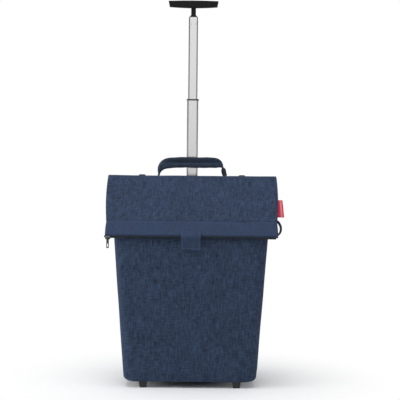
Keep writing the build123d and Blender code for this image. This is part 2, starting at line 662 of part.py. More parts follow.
def feet():
    """Two front feet, each held by two screws from inside the bag."""
    head_low = bag_floor + fabric + base_board_thickness
    screws, holes = Part(), Part()
    for side, name in ((-1, "left"), (1, "right")):
        top = Pos(side * foot_x, foot_y, bag_floor) * RectangleRounded(*foot_top, 4)
        bottom = Pos(side * foot_x, foot_y, 0) * RectangleRounded(*foot_bottom, 4)
        foot = loft([bottom, top])
        for step in (-foot_screw_pitch / 2, foot_screw_pitch / 2):
            place = (side * foot_x, foot_y + step)
            foot -= bar_z(screw_radius + 0.05, bag_floor - 11, bag_floor, *place)
            screws += bar_z(screw_radius, bag_floor - 10, head_low, *place)
            screws += bar_z(screw_head_radius, head_low, head_low + screw_head_height, *place)
            holes += bar_z(screw_radius + screw_hole_gap, 0, head_low, *place)
        keep("front_foot_" + name, foot)
    keep("foot_screws", screws)
    for name in ("bag_bottom_panel", "base_board"):
        keep(name, made[name] - holes)


# ------------------------------------------------------------------ back: sleeve, bracket and carry handle
def sleeve():
    """The fabric sleeve that holds the outer tube to the back, with a pad between tube and bag."""
    low, high = bag_floor + chassis_height + 4, back_lean_start - 5
    gap, half = 0.5, outer_tube_size[0] / 2
    front, back = post_y - outer_tube_size[1] / 2, post_y + outer_tube_size[1] / 2
    channel = block((-half - gap - fabric, half + gap + fabric), (bag_back, back + gap + fabric), (low, high))
    channel -= block((-half - gap, half + gap), (bag_back, back + gap), (low, high))
    for side in (-1, 1):
        inner, outer = sorted((side * (half + gap + fabric), side * (half + sleeve_flange)))
        channel += block((inner, outer), (bag_back, bag_back + 2), (low, high))
    keep("tube_sleeve", channel)
    keep("sleeve_pad", block((3 - half, half - 3), (bag_back, front - gap), (low + 2, high - 2)))


def upper_bracket():
    """The moulded bracket that joins the post's top to the back panel and carries the handle."""
    panel = back_line(0)
    slope = (panel[2][0] - panel[1][0]) / (panel[2][1] - panel[1][1])
    leg_low = bracket_top - bracket_leg

    def panel_y(z):
        return panel[1][0] + slope * (z - panel[1][1])

    gap, half = 0.1, bracket_half_width
    leg_top = fold_z - 1
    leg = [(panel_y(leg_low) + gap, leg_low), (panel_y(leg_low) + bracket_wall, leg_low)]
    leg += [(panel_y(leg_low) + bracket_wall, bracket_top), (panel_y(leg_top) + gap, bracket_top)]
    leg += [(panel_y(leg_top) + gap, leg_top)]
    ledge = block(
        (-half, half), (panel_y(leg_low) + 1, handle_y + webbing_width / 2 + 1),
        (bracket_top - bracket_wall, bracket_top),
    )
    ring_half = outer_tube_size[0] / 2 + 4
    ring_back = post_y + outer_tube_size[1] / 2 + 4
    hoop = block((-ring_half, ring_half), (panel_y(leg_low) + 1, ring_back), (leg_low, bracket_top - 2.2))
    body = yz_prism(leg, -half, half) + ledge + hoop
    body -= plug(grown(outer_tube_size, 2 * running_gap), tube_corner + tube_step / 2, 0, far * 2)
    collar_size = grown(outer_tube_size, 2 * collar_rim + 1)
    body -= plug(collar_size, tube_corner + tube_step / 2 + 1, outer_tube_ends[1] - 0.2, far * 2)
    rivets = Part()
    for x in rivet_x:
        z = leg_low + 8
        face = panel_y(z)
        body -= bar_y(screw_radius + 0.05, face - 10, face + 20, x, z)
        made["bag_back_panel"] -= bar_y(screw_radius + 0.1, face - 10, face + 20, x, z)
        leg_back = panel_y(leg_low) + bracket_wall
        rivets += bar_y(screw_radius, face - fabric - 1, leg_back + 1, x, z)
        rivets += bar_y(screw_head_radius, face - fabric - 2.6, face - fabric - 0.6, x, z)
        rivets += bar_y(screw_head_radius, leg_back + 0.05, leg_back + 1.4, x, z)
    keep("upper_bracket", body)
    keep("bracket_rivets", rivets)


def carry_handle():
    """The webbing handle with its padded grip, and the clamps that hold its ends on the bracket."""
    y_low, y_high = handle_y - webbing_width / 2, handle_y + webbing_width / 2
    tail_top = bracket_top + webbing
    foot_z = tail_top + handle_flex
    grip_width, grip_depth, grip_height = grip_size
    middle_z = handle_top - grip_height / 2
    half = handle_half_width
    corner = min(handle_corner, middle_z - foot_z - 0.1)
    path = FilletPolyline((-half, foot_z), (-half, middle_z), (half, middle_z), (half, foot_z), radius=corner)
    band = Pos(0, y_low, 0) * (Plane.XZ * trace(path, line_width=webbing))
    strap = extrude(band, webbing_width, dir=(0, 1, 0))
    keep("carry_handle_strap", strap)
    wrap = Pos(0, handle_y, middle_z) * Box(grip_width, grip_depth, grip_height)
    wrap = fillet(wrap.edges().filter_by(Axis.X), 8)
    wrap = fillet(wrap.faces().filter_by(Axis.X).edges(), 4)
    keep("carry_handle_grip", wrap - strap)
    anchors, ends = Part(), Part()
    width, depth, height = clamp_size
    for side in (-1, 1):
        low, high = sorted((side * (half - 4), side * (clamp_x + width / 2)))
        anchors += block((low, high), (y_low, y_high), (bracket_top, tail_top))
        x_span = (side * half - webbing / 2, side * half + webbing / 2)
        ends += block(x_span, (y_low, y_high), (tail_top, foot_z))
        foot = Pos(side * clamp_x, handle_y, tail_top + (height - webbing) / 2)
        cap = foot * Box(width, depth, height - webbing)
        anchors += fillet(cap.faces().sort_by(Axis.Z)[-1].edges(), 3)
    keep("handle_anchors", anchors)
    keep("handle_ends", ends)


bag_panels()
stiffeners()
top_fold()
flap_parts()
zip_tail_loop()
slider_and_pull()
closing_tab()
telescopic_post()
t_handle()
wheel_parts()
chassis()
feet()
sleeve()
upper_bracket()
carry_handle()

os.makedirs("parts", exist_ok=True)
for node, shape in made.items():
    export_step(shape, f"parts/{node}.step")
print(len(made), "sub-parts written")
print("fold line", fold_y, fold_z, "lean", lean_degrees, "flap length", flap_length)
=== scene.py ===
# %% [markdown]
# This lesson dresses a finished engineering model of a shopping trolley: a fabric bag with a
# folded-over top, one telescopic post and two wheels. The rigid parts come from CAD and only get
# materials here. Everything sewn is made new, as surfaces worked out with numpy, because cloth
# needs curves, seams and a weave that a CAD solid doesn't have.

# %% Load the frame
import json
import math

import bpy
import numpy as np
from mathutils import Matrix, Vector


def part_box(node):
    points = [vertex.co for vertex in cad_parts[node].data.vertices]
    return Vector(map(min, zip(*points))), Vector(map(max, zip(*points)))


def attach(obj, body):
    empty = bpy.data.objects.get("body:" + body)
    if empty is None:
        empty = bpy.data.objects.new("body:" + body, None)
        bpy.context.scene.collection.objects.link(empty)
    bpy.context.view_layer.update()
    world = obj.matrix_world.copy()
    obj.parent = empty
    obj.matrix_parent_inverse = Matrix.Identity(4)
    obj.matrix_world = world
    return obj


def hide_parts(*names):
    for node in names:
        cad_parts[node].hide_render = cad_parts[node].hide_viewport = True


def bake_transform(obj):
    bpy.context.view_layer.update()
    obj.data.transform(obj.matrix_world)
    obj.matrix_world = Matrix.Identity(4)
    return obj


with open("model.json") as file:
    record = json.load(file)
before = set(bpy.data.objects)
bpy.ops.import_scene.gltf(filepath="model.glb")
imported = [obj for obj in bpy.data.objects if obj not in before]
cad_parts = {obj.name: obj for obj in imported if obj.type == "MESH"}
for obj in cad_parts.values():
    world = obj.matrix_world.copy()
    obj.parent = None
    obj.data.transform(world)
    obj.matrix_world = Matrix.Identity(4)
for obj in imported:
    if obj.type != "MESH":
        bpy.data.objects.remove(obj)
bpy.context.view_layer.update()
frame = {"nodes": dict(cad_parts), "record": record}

# %% [markdown]
# Sizes are read from the CAD parts, so that the cloth follows if a size changes. The flap leans
# from a fold line. A place on it is easiest to give as a tailor would: so far down from the fold
# line, and so far out from it.

# %% Measures taken from the frame
MM = 0.001
RIPPLE_SEED = 11
STITCH_PITCH = 4.6 * MM


def node_box(node):
    """The lowest and highest corner of a CAD node, as numpy arrays in metres."""
    low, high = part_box(node)
    return np.array(low), np.array(high)


def centre(node):
    """The middle of a CAD node's box."""
    low, high = node_box(node)
    return (low + high) / 2


def joint_place(name):
    """Where the record puts a joint."""
    joints = frame["record"]["behaviour"]["joints"]
    return np.array(next(joint for joint in joints if joint["name"] == name)["pos_m"])


def vertex_values(mesh, key):
    """One vector for each vertex of a mesh, such as its place or its normal, as rows."""
    values = np.zeros(len(mesh.vertices) * 3)
    mesh.vertices.foreach_get(key, values)
    return values.reshape(-1, 3)


def unit(vectors):
    """Vectors scaled to length 1."""
    return vectors / np.maximum(np.linalg.norm(vectors, axis=-1, keepdims=True), 1e-9)


front_points = vertex_values(frame["nodes"]["bag_front_panel"].data, "co")
FLOOR, MOUTH = front_points[:, 2].min(), front_points[:, 2].max()
HALF_LOW = front_points[front_points[:, 2] < FLOOR + MM, 0].max()
HALF_TOP = front_points[:, 0].max()
FRONT = front_points[:, 1].min()
BACK = node_box("bag_back_panel")[1][1]
BACK_BEND = node_box("tube_sleeve")[1][2] + 5 * MM
FOLD = joint_place("flap_fold")
FOLD_OUTER = node_box("top_fold")[1][2] - FOLD[2]
DOWN = centre("flap_band") - centre("flap_panel")
DOWN /= np.linalg.norm(DOWN)
OUT = np.array([0.0, DOWN[2], -DOWN[1]])
MIDDLE = (centre("flap_panel") - FOLD) @ OUT
THICK = 2 * (FOLD_OUTER - MIDDLE)
FLAP_HALF = node_box("flap_panel")[1][0]
band_low, band_high = node_box("flap_band")
band_length = (band_high[2] - band_low[2] - THICK * OUT[2]) / -DOWN[2]
band_middle = (centre("flap_band") - FOLD) @ DOWN
BAND_START, BAND_END = band_middle - band_length / 2, band_middle + band_length / 2
print("flap: band from", round(BAND_START, 4), "to", round(BAND_END, 4))
print("flap thickness", round(THICK, 4))


def flap_place(x, along, out):
    """Points on the flap: x across it, then down from the fold line, then out from that line."""
    x, along, out = np.broadcast_arrays(x, along, out)
    points = FOLD + along[..., None] * DOWN + out[..., None] * OUT
    points[..., 0] = x
    return points


# %% [markdown]
# The camera comes first, because it decides what has to look right. It stands about three metres
# away with a long lens, a little above the bag, and tips down slightly. The long lens keeps the
# bag's upright edges almost parallel.

# %% Camera
LENS, SENSOR = 112.7, 36.0
SIDESTEP, DISTANCE, EYE_HEIGHT = 0.0215, 3.111, 0.640
TILT_DOWN, ROLL = 3.055, 0.55
camera_data = bpy.data.cameras.new("camera")
camera_data.lens, camera_data.sensor_width = LENS, SENSOR
camera = bpy.data.objects.new("camera", camera_data)
bpy.context.scene.collection.objects.link(camera)
camera.location = (SIDESTEP, FRONT - DISTANCE, EYE_HEIGHT)
tip, roll = math.radians(90 - TILT_DOWN), math.radians(ROLL)
camera.rotation_euler = (Matrix.Rotation(tip, 3, "X") @ Matrix.Rotation(roll, 3, "Z")).to_euler()
bpy.context.scene.camera = camera
print("camera at", tuple(round(v, 3) for v in camera.location))

# %% [markdown]
# The studio is a pale floor that runs out to white, a big soft light overhead, softer ones at the
# sides and a world that is white to the camera but darker at the sides. Shiny tubes need
# something dark to reflect, or their edges vanish against the white.

# %% Studio


def fill(tree, node, inputs):
    """Fills a node's inputs: each is a plain value or another node's output socket."""
    for key, value in inputs.items():
        if isinstance(value, bpy.types.NodeSocket):
            tree.links.new(value, node.inputs[key])
        else:
            node.inputs[key].default_value = value


def add(tree, kind, inputs=None, **settings):
    """A new shader node with its settings made and its inputs filled."""
    made = tree.nodes.new("ShaderNode" + kind)
    for key, value in settings.items():
        setattr(made, key, value)
    fill(tree, made, inputs or {})
    return made


def area_light(name, place, aim, size, power, colour=(1, 1, 1), mirrored=True):
    """A square soft light that faces the aim. Without mirrored, shiny things don't show it."""
    data = bpy.data.lights.new(name, "AREA")
    data.color = colour
    data.shape, data.size, data.energy = "SQUARE", size, power
    lamp = bpy.data.objects.new(name, data)
    lamp.location = place
    lamp.visible_glossy = mirrored
    lamp.rotation_mode = "QUATERNION"
    lamp.rotation_quaternion = (Vector(aim) - Vector(place)).to_track_quat("-Z", "Y")
    bpy.context.scene.collection.objects.link(lamp)


def white_world():
    """A world that the camera sees as white.

    As a light it is dimmer at the sides than in front, and shiny things see it brighter.
    """
    lit_power, glossy_extra = 0.35, 0.56
    world = bpy.data.worlds.new("studio_white")
    bpy.context.scene.world = world
    world.use_nodes = True
    tree = world.node_tree
    tree.nodes.clear()
    coordinate = add(tree, "TexCoord")
    split = add(tree, "SeparateXYZ", {0: coordinate.outputs["Generated"]})
    sideways = add(tree, "Math", {0: split.outputs["X"]}, operation="ABSOLUTE")
    ramp = add(tree, "ValToRGB", {0: sideways.outputs[0]})
    near, far = ramp.color_ramp.elements
    near.position, near.color = 0.35, (0.95, 0.95, 0.96, 1)
    far.position, far.color = 0.85, (0.16, 0.16, 0.17, 1)
    path = add(tree, "LightPath")
    power = add(tree, "Math", {0: path.outputs["Is Glossy Ray"], 1: glossy_extra, 2: lit_power},
                operation="MULTIPLY_ADD")
    lit = add(tree, "Background", {"Color": ramp.outputs["Color"], "Strength": power.outputs[0]})
    seen = add(tree, "Background", {"Color": (1, 1, 1, 1), "Strength": 1.0})
    mix = add(tree, "MixShader",
              {0: path.outputs["Is Camera Ray"], 1: lit.outputs[0], 2: seen.outputs[0]})
    add(tree, "OutputWorld", {0: mix.outputs[0]})


def paper_material():
    """White paper that takes shadows near the bag and glows white further out, to hide its horizon.

    Only the camera sees the full glow, so that the tubes don't mirror it.
    """
    glow_starts, glow_full, glow_to_others = 0.04, 0.55, 0.3
    paper = bpy.data.materials.new("studio_paper")
    paper.use_nodes = True
    tree = paper.node_tree
    shader = tree.nodes["Principled BSDF"]
    fill(tree, shader, {"Base Color": (0.95, 0.95, 0.95, 1), "Roughness": 0.9, "Specular IOR Level": 0.1})
    place = add(tree, "TexCoord")
    reach = add(tree, "VectorMath", {0: place.outputs["Object"]}, operation="LENGTH")
    far = add(tree, "MapRange",
              {"Value": reach.outputs["Value"], "From Min": glow_starts, "From Max": glow_full},
              interpolation_type="SMOOTHSTEP")
    glow = add(tree, "Emission", {"Color": (1, 1, 1, 1), "Strength": 1.0})
    path = add(tree, "LightPath")
    seen = add(tree, "Math", {0: path.outputs["Is Camera Ray"], 1: 1 - glow_to_others, 2: glow_to_others},
               operation="MULTIPLY_ADD")
    share = add(tree, "Math", {0: far.outputs["Result"], 1: seen.outputs[0]}, operation="MULTIPLY")
    mix = add(tree, "MixShader", {0: share.outputs[0], 1: shader.outputs[0], 2: glow.outputs[0]})
    tree.links.new(mix.outputs[0], tree.nodes["Material Output"].inputs["Surface"])
    return paper


def studio():
    """The floor, the lights and the world."""
    scene = bpy.context.scene
    scene.view_settings.view_transform, scene.view_settings.look = "Standard", "None"
    side = 30.0
    mesh = bpy.data.meshes.new("studio_floor")
    corners = [(-side, -side, 0), (side, -side, 0), (side, side, 0), (-side, side, 0)]
    mesh.from_pydata(corners, [], [(0, 1, 2, 3)])
    floor = bpy.data.objects.new("studio_floor", mesh)
    scene.collection.objects.link(floor)
    mesh.materials.append(paper_material())
    aim = (0, 0, 0.4)
    area_light("overhead_softbox", (-0.3, -0.7, 3.0), aim, 2.6, 54.0, (0.92, 0.96, 1.0))
    area_light("left_fill", (-3.0, -0.8, 1.1), aim, 1.6, 62.0, mirrored=False)
    area_light("right_fill", (3.0, -0.9, 1.1), aim, 1.4, 18.0, mirrored=False)
    area_light("back_wash", (0.9, 2.8, 2.2), aim, 2.5, 12.0)
    white_world()
    print("studio: floor,", len(bpy.data.lights), "lights, white world")


studio()

# %% [markdown]
# Every new piece is a grid of points, ring after ring. A function fills the whole grid at once,
# and one helper turns any grid into a mesh: it joins neighbours into four-sided faces, closes
# each ring on itself, and lays a UV map measured in metres of cloth, so that one weave fits
# every piece at its true scale.

# %% Grids to meshes


def link_mesh(name, points, faces, uv=None):
    """A smooth mesh object from points (n, 3), faces, and perhaps a UV for each face corner."""
    mesh = bpy.data.meshes.new(name)
    mesh.from_pydata(points.tolist(), [], faces)
    mesh.polygons.foreach_set("use_smooth", np.ones(len(mesh.polygons), dtype=bool))
    if uv is not None:
        layer = mesh.uv_layers.new(name="cloth")
        layer.data.foreach_set("uv", np.asarray(uv, dtype=np.float32).ravel())
    mesh.update()
    piece = bpy.data.objects.new(name, mesh)
    bpy.context.scene.collection.objects.link(piece)
    return piece


def ring_faces(rings, columns):
    """Four-sided faces between closed rings of points, and each face's row i and column j.

    Face (i, j) joins points (i, j), (i, j+1), (i+1, j+1) and (i+1, j), and the last column joins
    the first.
    """
    i, j = np.meshgrid(np.arange(rings - 1), np.arange(columns), indexing="ij")
    right = (j + 1) % columns
    corners = [i * columns + j, i * columns + right, (i + 1) * columns + right, (i + 1) * columns + j]
    return np.stack(corners, -1).reshape(-1, 4).tolist(), i, j


def grid_piece(name, points, uv, open_end=False):
    """A surface from rings of points, shaped (rings, columns, 3), with uv one column longer.

    The first ring is filled with a face, and so is the last one unless open_end.
    """
    rings, columns = points.shape[:2]
    faces, i, j = ring_faces(rings, columns)
    corner_uv = np.stack([uv[i, j], uv[i, j + 1], uv[i + 1, j + 1], uv[i + 1, j]], -2).reshape(-1, 2)
    faces.append(list(range(columns))[::-1])
    corner_uv = np.concatenate([corner_uv, uv[0, :columns][::-1]])
    if not open_end:
        faces.append([(rings - 1) * columns + k for k in range(columns)])
        corner_uv = np.concatenate([corner_uv, uv[-1, :columns]])
    return link_mesh(name, points.reshape(-1, 3), faces, corner_uv)


def travelled(points):
    """The distance along a line of points, starting at 0."""
    return np.concatenate([[0.0], np.cumsum(np.linalg.norm(np.diff(points, axis=0), axis=1))])


def girth_of(points):
    """The distance round each closed ring, with one more column than points."""
    closed = np.concatenate([points, points[:, :1]], 1)
    steps = np.linalg.norm(np.diff(closed, axis=1), axis=2)
    return np.concatenate([np.zeros((len(points), 1)), np.cumsum(steps, 1)], 1)


def cloth_map(across, down):
    """A UV grid in metres: the distance across for each column, and down for each row."""
    return np.stack(np.broadcast_arrays(across, down[:, None]), -1)


def squared_off(wave, power):
    """A sine or cosine raised to a power with its sign kept, which squares off a circle."""
    return np.sign(wave) * abs(wave) ** power


def smooth_line(corners, count, passes=3):
    """Evenly spaced points on a smooth line: each pass cuts every corner off by a quarter."""
    line = np.array(corners, dtype=float)
    for _ in range(passes):
        a, b = line[:-1], line[1:]
        cut = np.stack([0.75 * a + 0.25 * b, 0.25 * a + 0.75 * b], 1).reshape(-1, line.shape[1])
        line = np.concatenate([line[:1], cut, line[-1:]])
    reach = travelled(line)
    even = np.linspace(0, reach[-1], count)
    return np.stack([np.interp(even, reach, line[:, k]) for k in range(line.shape[1])], -1)


def ease(x):
    """A smooth step from 0 to 1: 3 x² - 2 x³."""
    x = np.clip(x, 0, 1)
    return x * x * (3 - 2 * x)


def ripple(a, b, seed=RIPPLE_SEED, largest=0.15):
    """Soft waves over two cloth coordinates, about -1 to 1: sines in seeded directions."""
    waves, smallest, height = 8, 0.03, 1.8
    draw = np.random.default_rng(seed)
    total = np.zeros(np.broadcast(a, b).shape)
    for _ in range(waves):
        angle, size = draw.uniform(0, math.tau), draw.uniform(smallest, largest)
        shift, weight = draw.uniform(0, math.tau), draw.uniform(0.5, 1.0)
        reach = a * math.cos(angle) + b * math.sin(angle)
        total = total + weight * np.sin(math.tau * reach / size + shift)
    return total / waves * height


def strap(name, path, side, width, thickness, across=9, edge=3, roundness=1.0):
    """A flat strap with rounded edges, carried along a path. Less roundness makes blunter edges.

    A point is path + side * w + normal * t, where w and t run round a flat section and normal is
    the path's direction crossed with side. Width and thickness are one number or one for each point.
    """
    count = len(path)
    along = unit(np.gradient(path, axis=0))
    side = np.broadcast_to(np.asarray(side, dtype=float), (count, 3))
    side = unit(side - (side * along).sum(1)[:, None] * along)
    normal = np.cross(along, side)
    half_w = np.broadcast_to(np.asarray(width, dtype=float) / 2, (count,))[:, None]
    half_t = np.broadcast_to(np.asarray(thickness, dtype=float) / 2, (count,))[:, None]
    flat = np.linspace(-1, 1, across)
    turn = np.linspace(0, math.pi, edge + 2)[1:-1]
    zeros = np.zeros(edge)
    inner = np.concatenate([flat, zeros + 1, flat[::-1], zeros - 1])
    bulge = np.concatenate([flat * 0, np.sin(turn), flat * 0, -np.sin(turn)])
    rise = np.concatenate([flat * 0 - 1, -np.cos(turn), flat * 0 + 1, np.cos(turn)])
    wide = inner * (half_w - roundness * half_t) + bulge * roundness * half_t
    high = rise * half_t
    points = path[:, None] + side[:, None] * wide[..., None] + normal[:, None] * high[..., None]
    return grid_piece(name, points, cloth_map(girth_of(points), travelled(path)))


def stitches(name, places, directions, normals):
    """A row of sewing stitches: each is a low six-sided capsule that lies along its direction."""
    length, radius = 3.2 * MM, 0.45 * MM
    sides, lowness = 6, 0.7
    around = np.arange(sides) * math.tau / sides
    rings = np.array([[-0.5, 0.35], [-0.3, 1.0], [0.3, 1.0], [0.5, 0.35]])
    reach, girth = rings[:, None, 0] * length, rings[:, None, 1] * radius
    local = np.stack(np.broadcast_arrays(
        reach, girth * np.cos(around), girth * lowness * np.sin(around)), -1).reshape(-1, 3)
    along = unit(directions)
    up = unit(normals - (normals * along).sum(-1, keepdims=True) * along)
    axes = np.stack(np.broadcast_arrays(along, np.cross(up, along), up), -2)
    points = places[:, None] + local @ axes
    size = len(local)
    ends = [list(range(sides))[::-1], list(range(size - sides, size))]
    capsule = ring_faces(len(rings), sides)[0] + ends
    faces = [[corner + size * k for corner in face] for k in range(len(places)) for face in capsule]
    return link_mesh(name, points.reshape(-1, 3), faces)


def row_between(start, end):
    """Stitch middles at an even pitch between two points, with the direction from one to the other."""
    start, end = np.array(start, dtype=float), np.array(end, dtype=float)
    count = max(2, int(np.linalg.norm(end - start) / STITCH_PITCH))
    share = (np.arange(count) + 0.5) / count
    return start + share[:, None] * (end - start), np.broadcast_to(end - start, (count, 3))


print("helpers ready: grids, straps, stitches")

# %% [markdown]
# Cloth looks like cloth because of its threads. One node group makes a melange weave: noise
# stretched along the warp gives light and dark streaks, thinner noise across gives the weft, and
# two sine waves give the over-and-under of the threads as a height for a bump. It takes any
# coordinate in metres, so the same group serves a UV map or plain object space.

# %% Shared shader groups


def socket_colour(red, green, blue):
    """A display colour, 0 to 255, as the linear colour that shaders use."""
    share = np.array([red, green, blue]) / 255
    linear = np.where(share <= 0.04045, share / 12.92, ((share + 0.055) / 1.055) ** 2.4)
    return (*linear.tolist(), 1.0)


def new_group(name, *numbers):
    """An empty shader group that takes a Vector, a Colour and the named numbers."""
    tree = bpy.data.node_groups.new(name, "ShaderNodeTree")
    taken = {"Vector": "Vector", "Colour": "Color", **dict.fromkeys(numbers, "Float")}
    sent = {"Color": "Color", "Roughness": "Float", "Height": "Float"}
    for way, sockets in (("INPUT", taken), ("OUTPUT", sent)):
        for socket, kind in sockets.items():
            tree.interface.new_socket(socket, in_out=way, socket_type="NodeSocket" + kind)
    return tree, tree.nodes.new("NodeGroupInput")


def send_out(tree, given, shade, roughness, height):
    """Ends a group: the colour times the shade, the roughness, and the height for a bump."""
    colour = add(tree, "VectorMath", {0: given.outputs["Colour"], "Scale": shade}, operation="SCALE")
    result = tree.nodes.new("NodeGroupOutput")
    fill(tree, result, {"Color": colour.outputs[0], "Roughness": roughness, "Height": height})
    return tree


def maths(tree, operation, first, second=0.0):
    """The output of one maths node."""
    return add(tree, "Math", {0: first, 1: second}, operation=operation).outputs[0]


def stretched_noise(tree, vector, cell, detail=2.0):
    """Noise whose cells have the given size in mm, minus a half, so that it swings round 0."""
    scaled = add(tree, "VectorMath", {0: vector, 1: [1 / (side * MM) for side in cell]}, operation="MULTIPLY")
    noise = add(tree, "TexNoise", {"Vector": scaled.outputs[0], "Scale": 1.0, "Detail": detail})
    return maths(tree, "SUBTRACT", noise.outputs[0], 0.5)


def wave(tree, distance, turns):
    """The sine of a distance times turns."""
    return maths(tree, "SINE", maths(tree, "MULTIPLY", distance, turns))


def weighted(tree, parts):
    """The sum of sockets times weights."""
    total = 0.0
    for socket, weight in parts:
        step = add(tree, "Math", {0: socket, 1: weight, 2: total}, operation="MULTIPLY_ADD")
        total = step.outputs[0]
    return total


def melange_group():
    """Cloth woven from mixed threads: colour, roughness and thread height."""
    tree, given = new_group("melange_weave", "Contrast", "Thread")
    vector = given.outputs["Vector"]
    warp = stretched_noise(tree, vector, (1.4, 16, 16), 3.0)
    broad = stretched_noise(tree, vector, (4.0, 34, 34))
    weft = stretched_noise(tree, vector, (15, 1.4, 15), 3.0)
    slub = stretched_noise(tree, vector, (24, 3.6, 24))
    cloud = stretched_noise(tree, vector, (90, 120, 90))
    mixed = weighted(tree, [(warp, 1.8), (broad, 1.0), (weft, 1.3), (slub, 0.7), (cloud, 0.3)])
    light = maths(tree, "MULTIPLY", mixed, given.outputs["Contrast"])
    factor = maths(tree, "MAXIMUM", maths(tree, "ADD", light, 1.0), 0.25)
    split = add(tree, "SeparateXYZ", {0: vector})
    turns = maths(tree, "DIVIDE", math.tau, given.outputs["Thread"])
    across = wave(tree, split.outputs["X"], turns)
    down = wave(tree, split.outputs["Y"], turns)
    woven = maths(tree, "MULTIPLY", across, down)
    height = weighted(tree, [(woven, 0.5), (warp, 0.9), (weft, 0.6)])
    shade = maths(tree, "MULTIPLY", factor, weighted(tree, [(woven, 0.06), (1.0, 1.0)]))
    return send_out(tree, given, shade, weighted(tree, [(warp, 0.2), (1.0, 0.86)]), height)


def webbing_group():
    """Ribbed strap: ribs along its length, made from the distance across it."""
    tree, given = new_group("ribbed_webbing", "Rib")
    split = add(tree, "SeparateXYZ", {0: given.outputs["Vector"]})
    turns = maths(tree, "DIVIDE", math.tau, given.outputs["Rib"])
    ribs = wave(tree, split.outputs["X"], turns)
    slower = maths(tree, "MULTIPLY", turns, 0.8)
    picks = wave(tree, split.outputs["Y"], slower)
    fuzz = stretched_noise(tree, given.outputs["Vector"], (1.5, 6, 6), 3.0)
    height = weighted(tree, [(ribs, 0.5), (picks, 0.3), (fuzz, 0.6)])
    shade = weighted(tree, [(ribs, 0.16), (picks, 0.06), (fuzz, 0.7), (1.0, 1.0)])
    return send_out(tree, given, shade, weighted(tree, [(fuzz, 0.2), (1.0, 0.8)]), height)


def moulded_group():
    """Moulded plastic or rubber: fine spark-eroded grain, faint mottling and rubbed patches."""
    tree, given = new_group("moulded_grain", "Rough")
    vector = given.outputs["Vector"]
    grain = stretched_noise(tree, vector, (0.5, 0.5, 0.5))
    patch = stretched_noise(tree, vector, (30, 30, 30), 4.0)
    shade = weighted(tree, [(grain, 0.25), (patch, 0.25), (1.0, 1.0)])
    rough = maths(tree, "ADD", given.outputs["Rough"], weighted(tree, [(patch, 0.25), (grain, 0.1)]))
    return send_out(tree, given, shade, rough, grain)


def brushed_group():
    """Drawn and anodised metal: long fine lines along Z and a few faint rubs where tubes slide."""
    tree, given = new_group("drawn_metal", "Rough")
    vector = given.outputs["Vector"]
    lines = stretched_noise(tree, vector, (0.35, 0.35, 90), 3.0)
    rubs = stretched_noise(tree, vector, (3, 3, 200), 3.0)
    shade = weighted(tree, [(lines, 0.04), (rubs, 0.05), (1.0, 1.0)])
    rough = maths(tree, "ADD", given.outputs["Rough"], weighted(tree, [(lines, 0.06), (rubs, 0.08)]))
    return send_out(tree, given, shade, rough, lines)


GROUPS = {"weave": melange_group(), "webbing": webbing_group(),
          "moulded": moulded_group(), "metal": brushed_group()}
print("shader groups:", [tree.name for tree in GROUPS.values()])

# %% [markdown]
# A material is then short: it picks a group, gives it a colour and a scale, and sets the fixed
# parts of the shader. Sheen, the soft glow at grazing angles, is what makes polyester read as
# cloth and not as painted card. A material named after a slot in the CAD record fills that slot,
# and _flat marks a slot's second version, for pieces that have no cloth map.

# %% Materials


def material(name, group, colour, values, bump, shader_values=None, coordinate="Object"):
    """A material fed by one shared group, with a bump of the given height in mm."""
    made = bpy.data.materials.new(name)
    made.use_nodes = True
    tree = made.node_tree
    linear = colour if len(colour) == 4 else socket_colour(*colour)
    source = add(tree, "UVMap", uv_map="cloth") if coordinate == "UV" else add(tree, "TexCoord")
    inputs = {"Vector": source.outputs[coordinate], "Colour": linear, **values}
    pattern = add(tree, "Group", inputs, node_tree=GROUPS[group])
    bumped = add(tree, "Bump", {"Height": pattern.outputs["Height"], "Distance": bump * MM, "Strength": 0.6})
    fill(tree, tree.nodes["Principled BSDF"],
         {"Base Color": pattern.outputs["Color"], "Roughness": pattern.outputs["Roughness"],
          "Normal": bumped.outputs[0], **(shader_values or {})})
    made.diffuse_color = linear
    return made


NAVY, PLAIN_NAVY, DARK_NAVY = (48, 61, 83), (50, 63, 88), (32, 40, 53)
WEAVE, TIGHT = {"Contrast": 1.35, "Thread": 1.2 * MM}, {"Contrast": 0.45, "Thread": 0.9 * MM}
RIBS = {"Rib": 1.6 * MM}
CLOTH = {"Sheen Weight": 0.12, "Sheen Roughness": 0.5, "Specular IOR Level": 0.2}
TINTED = {**CLOTH, "Sheen Tint": socket_colour(150, 165, 190)}
METAL = {"Metallic": 1.0}
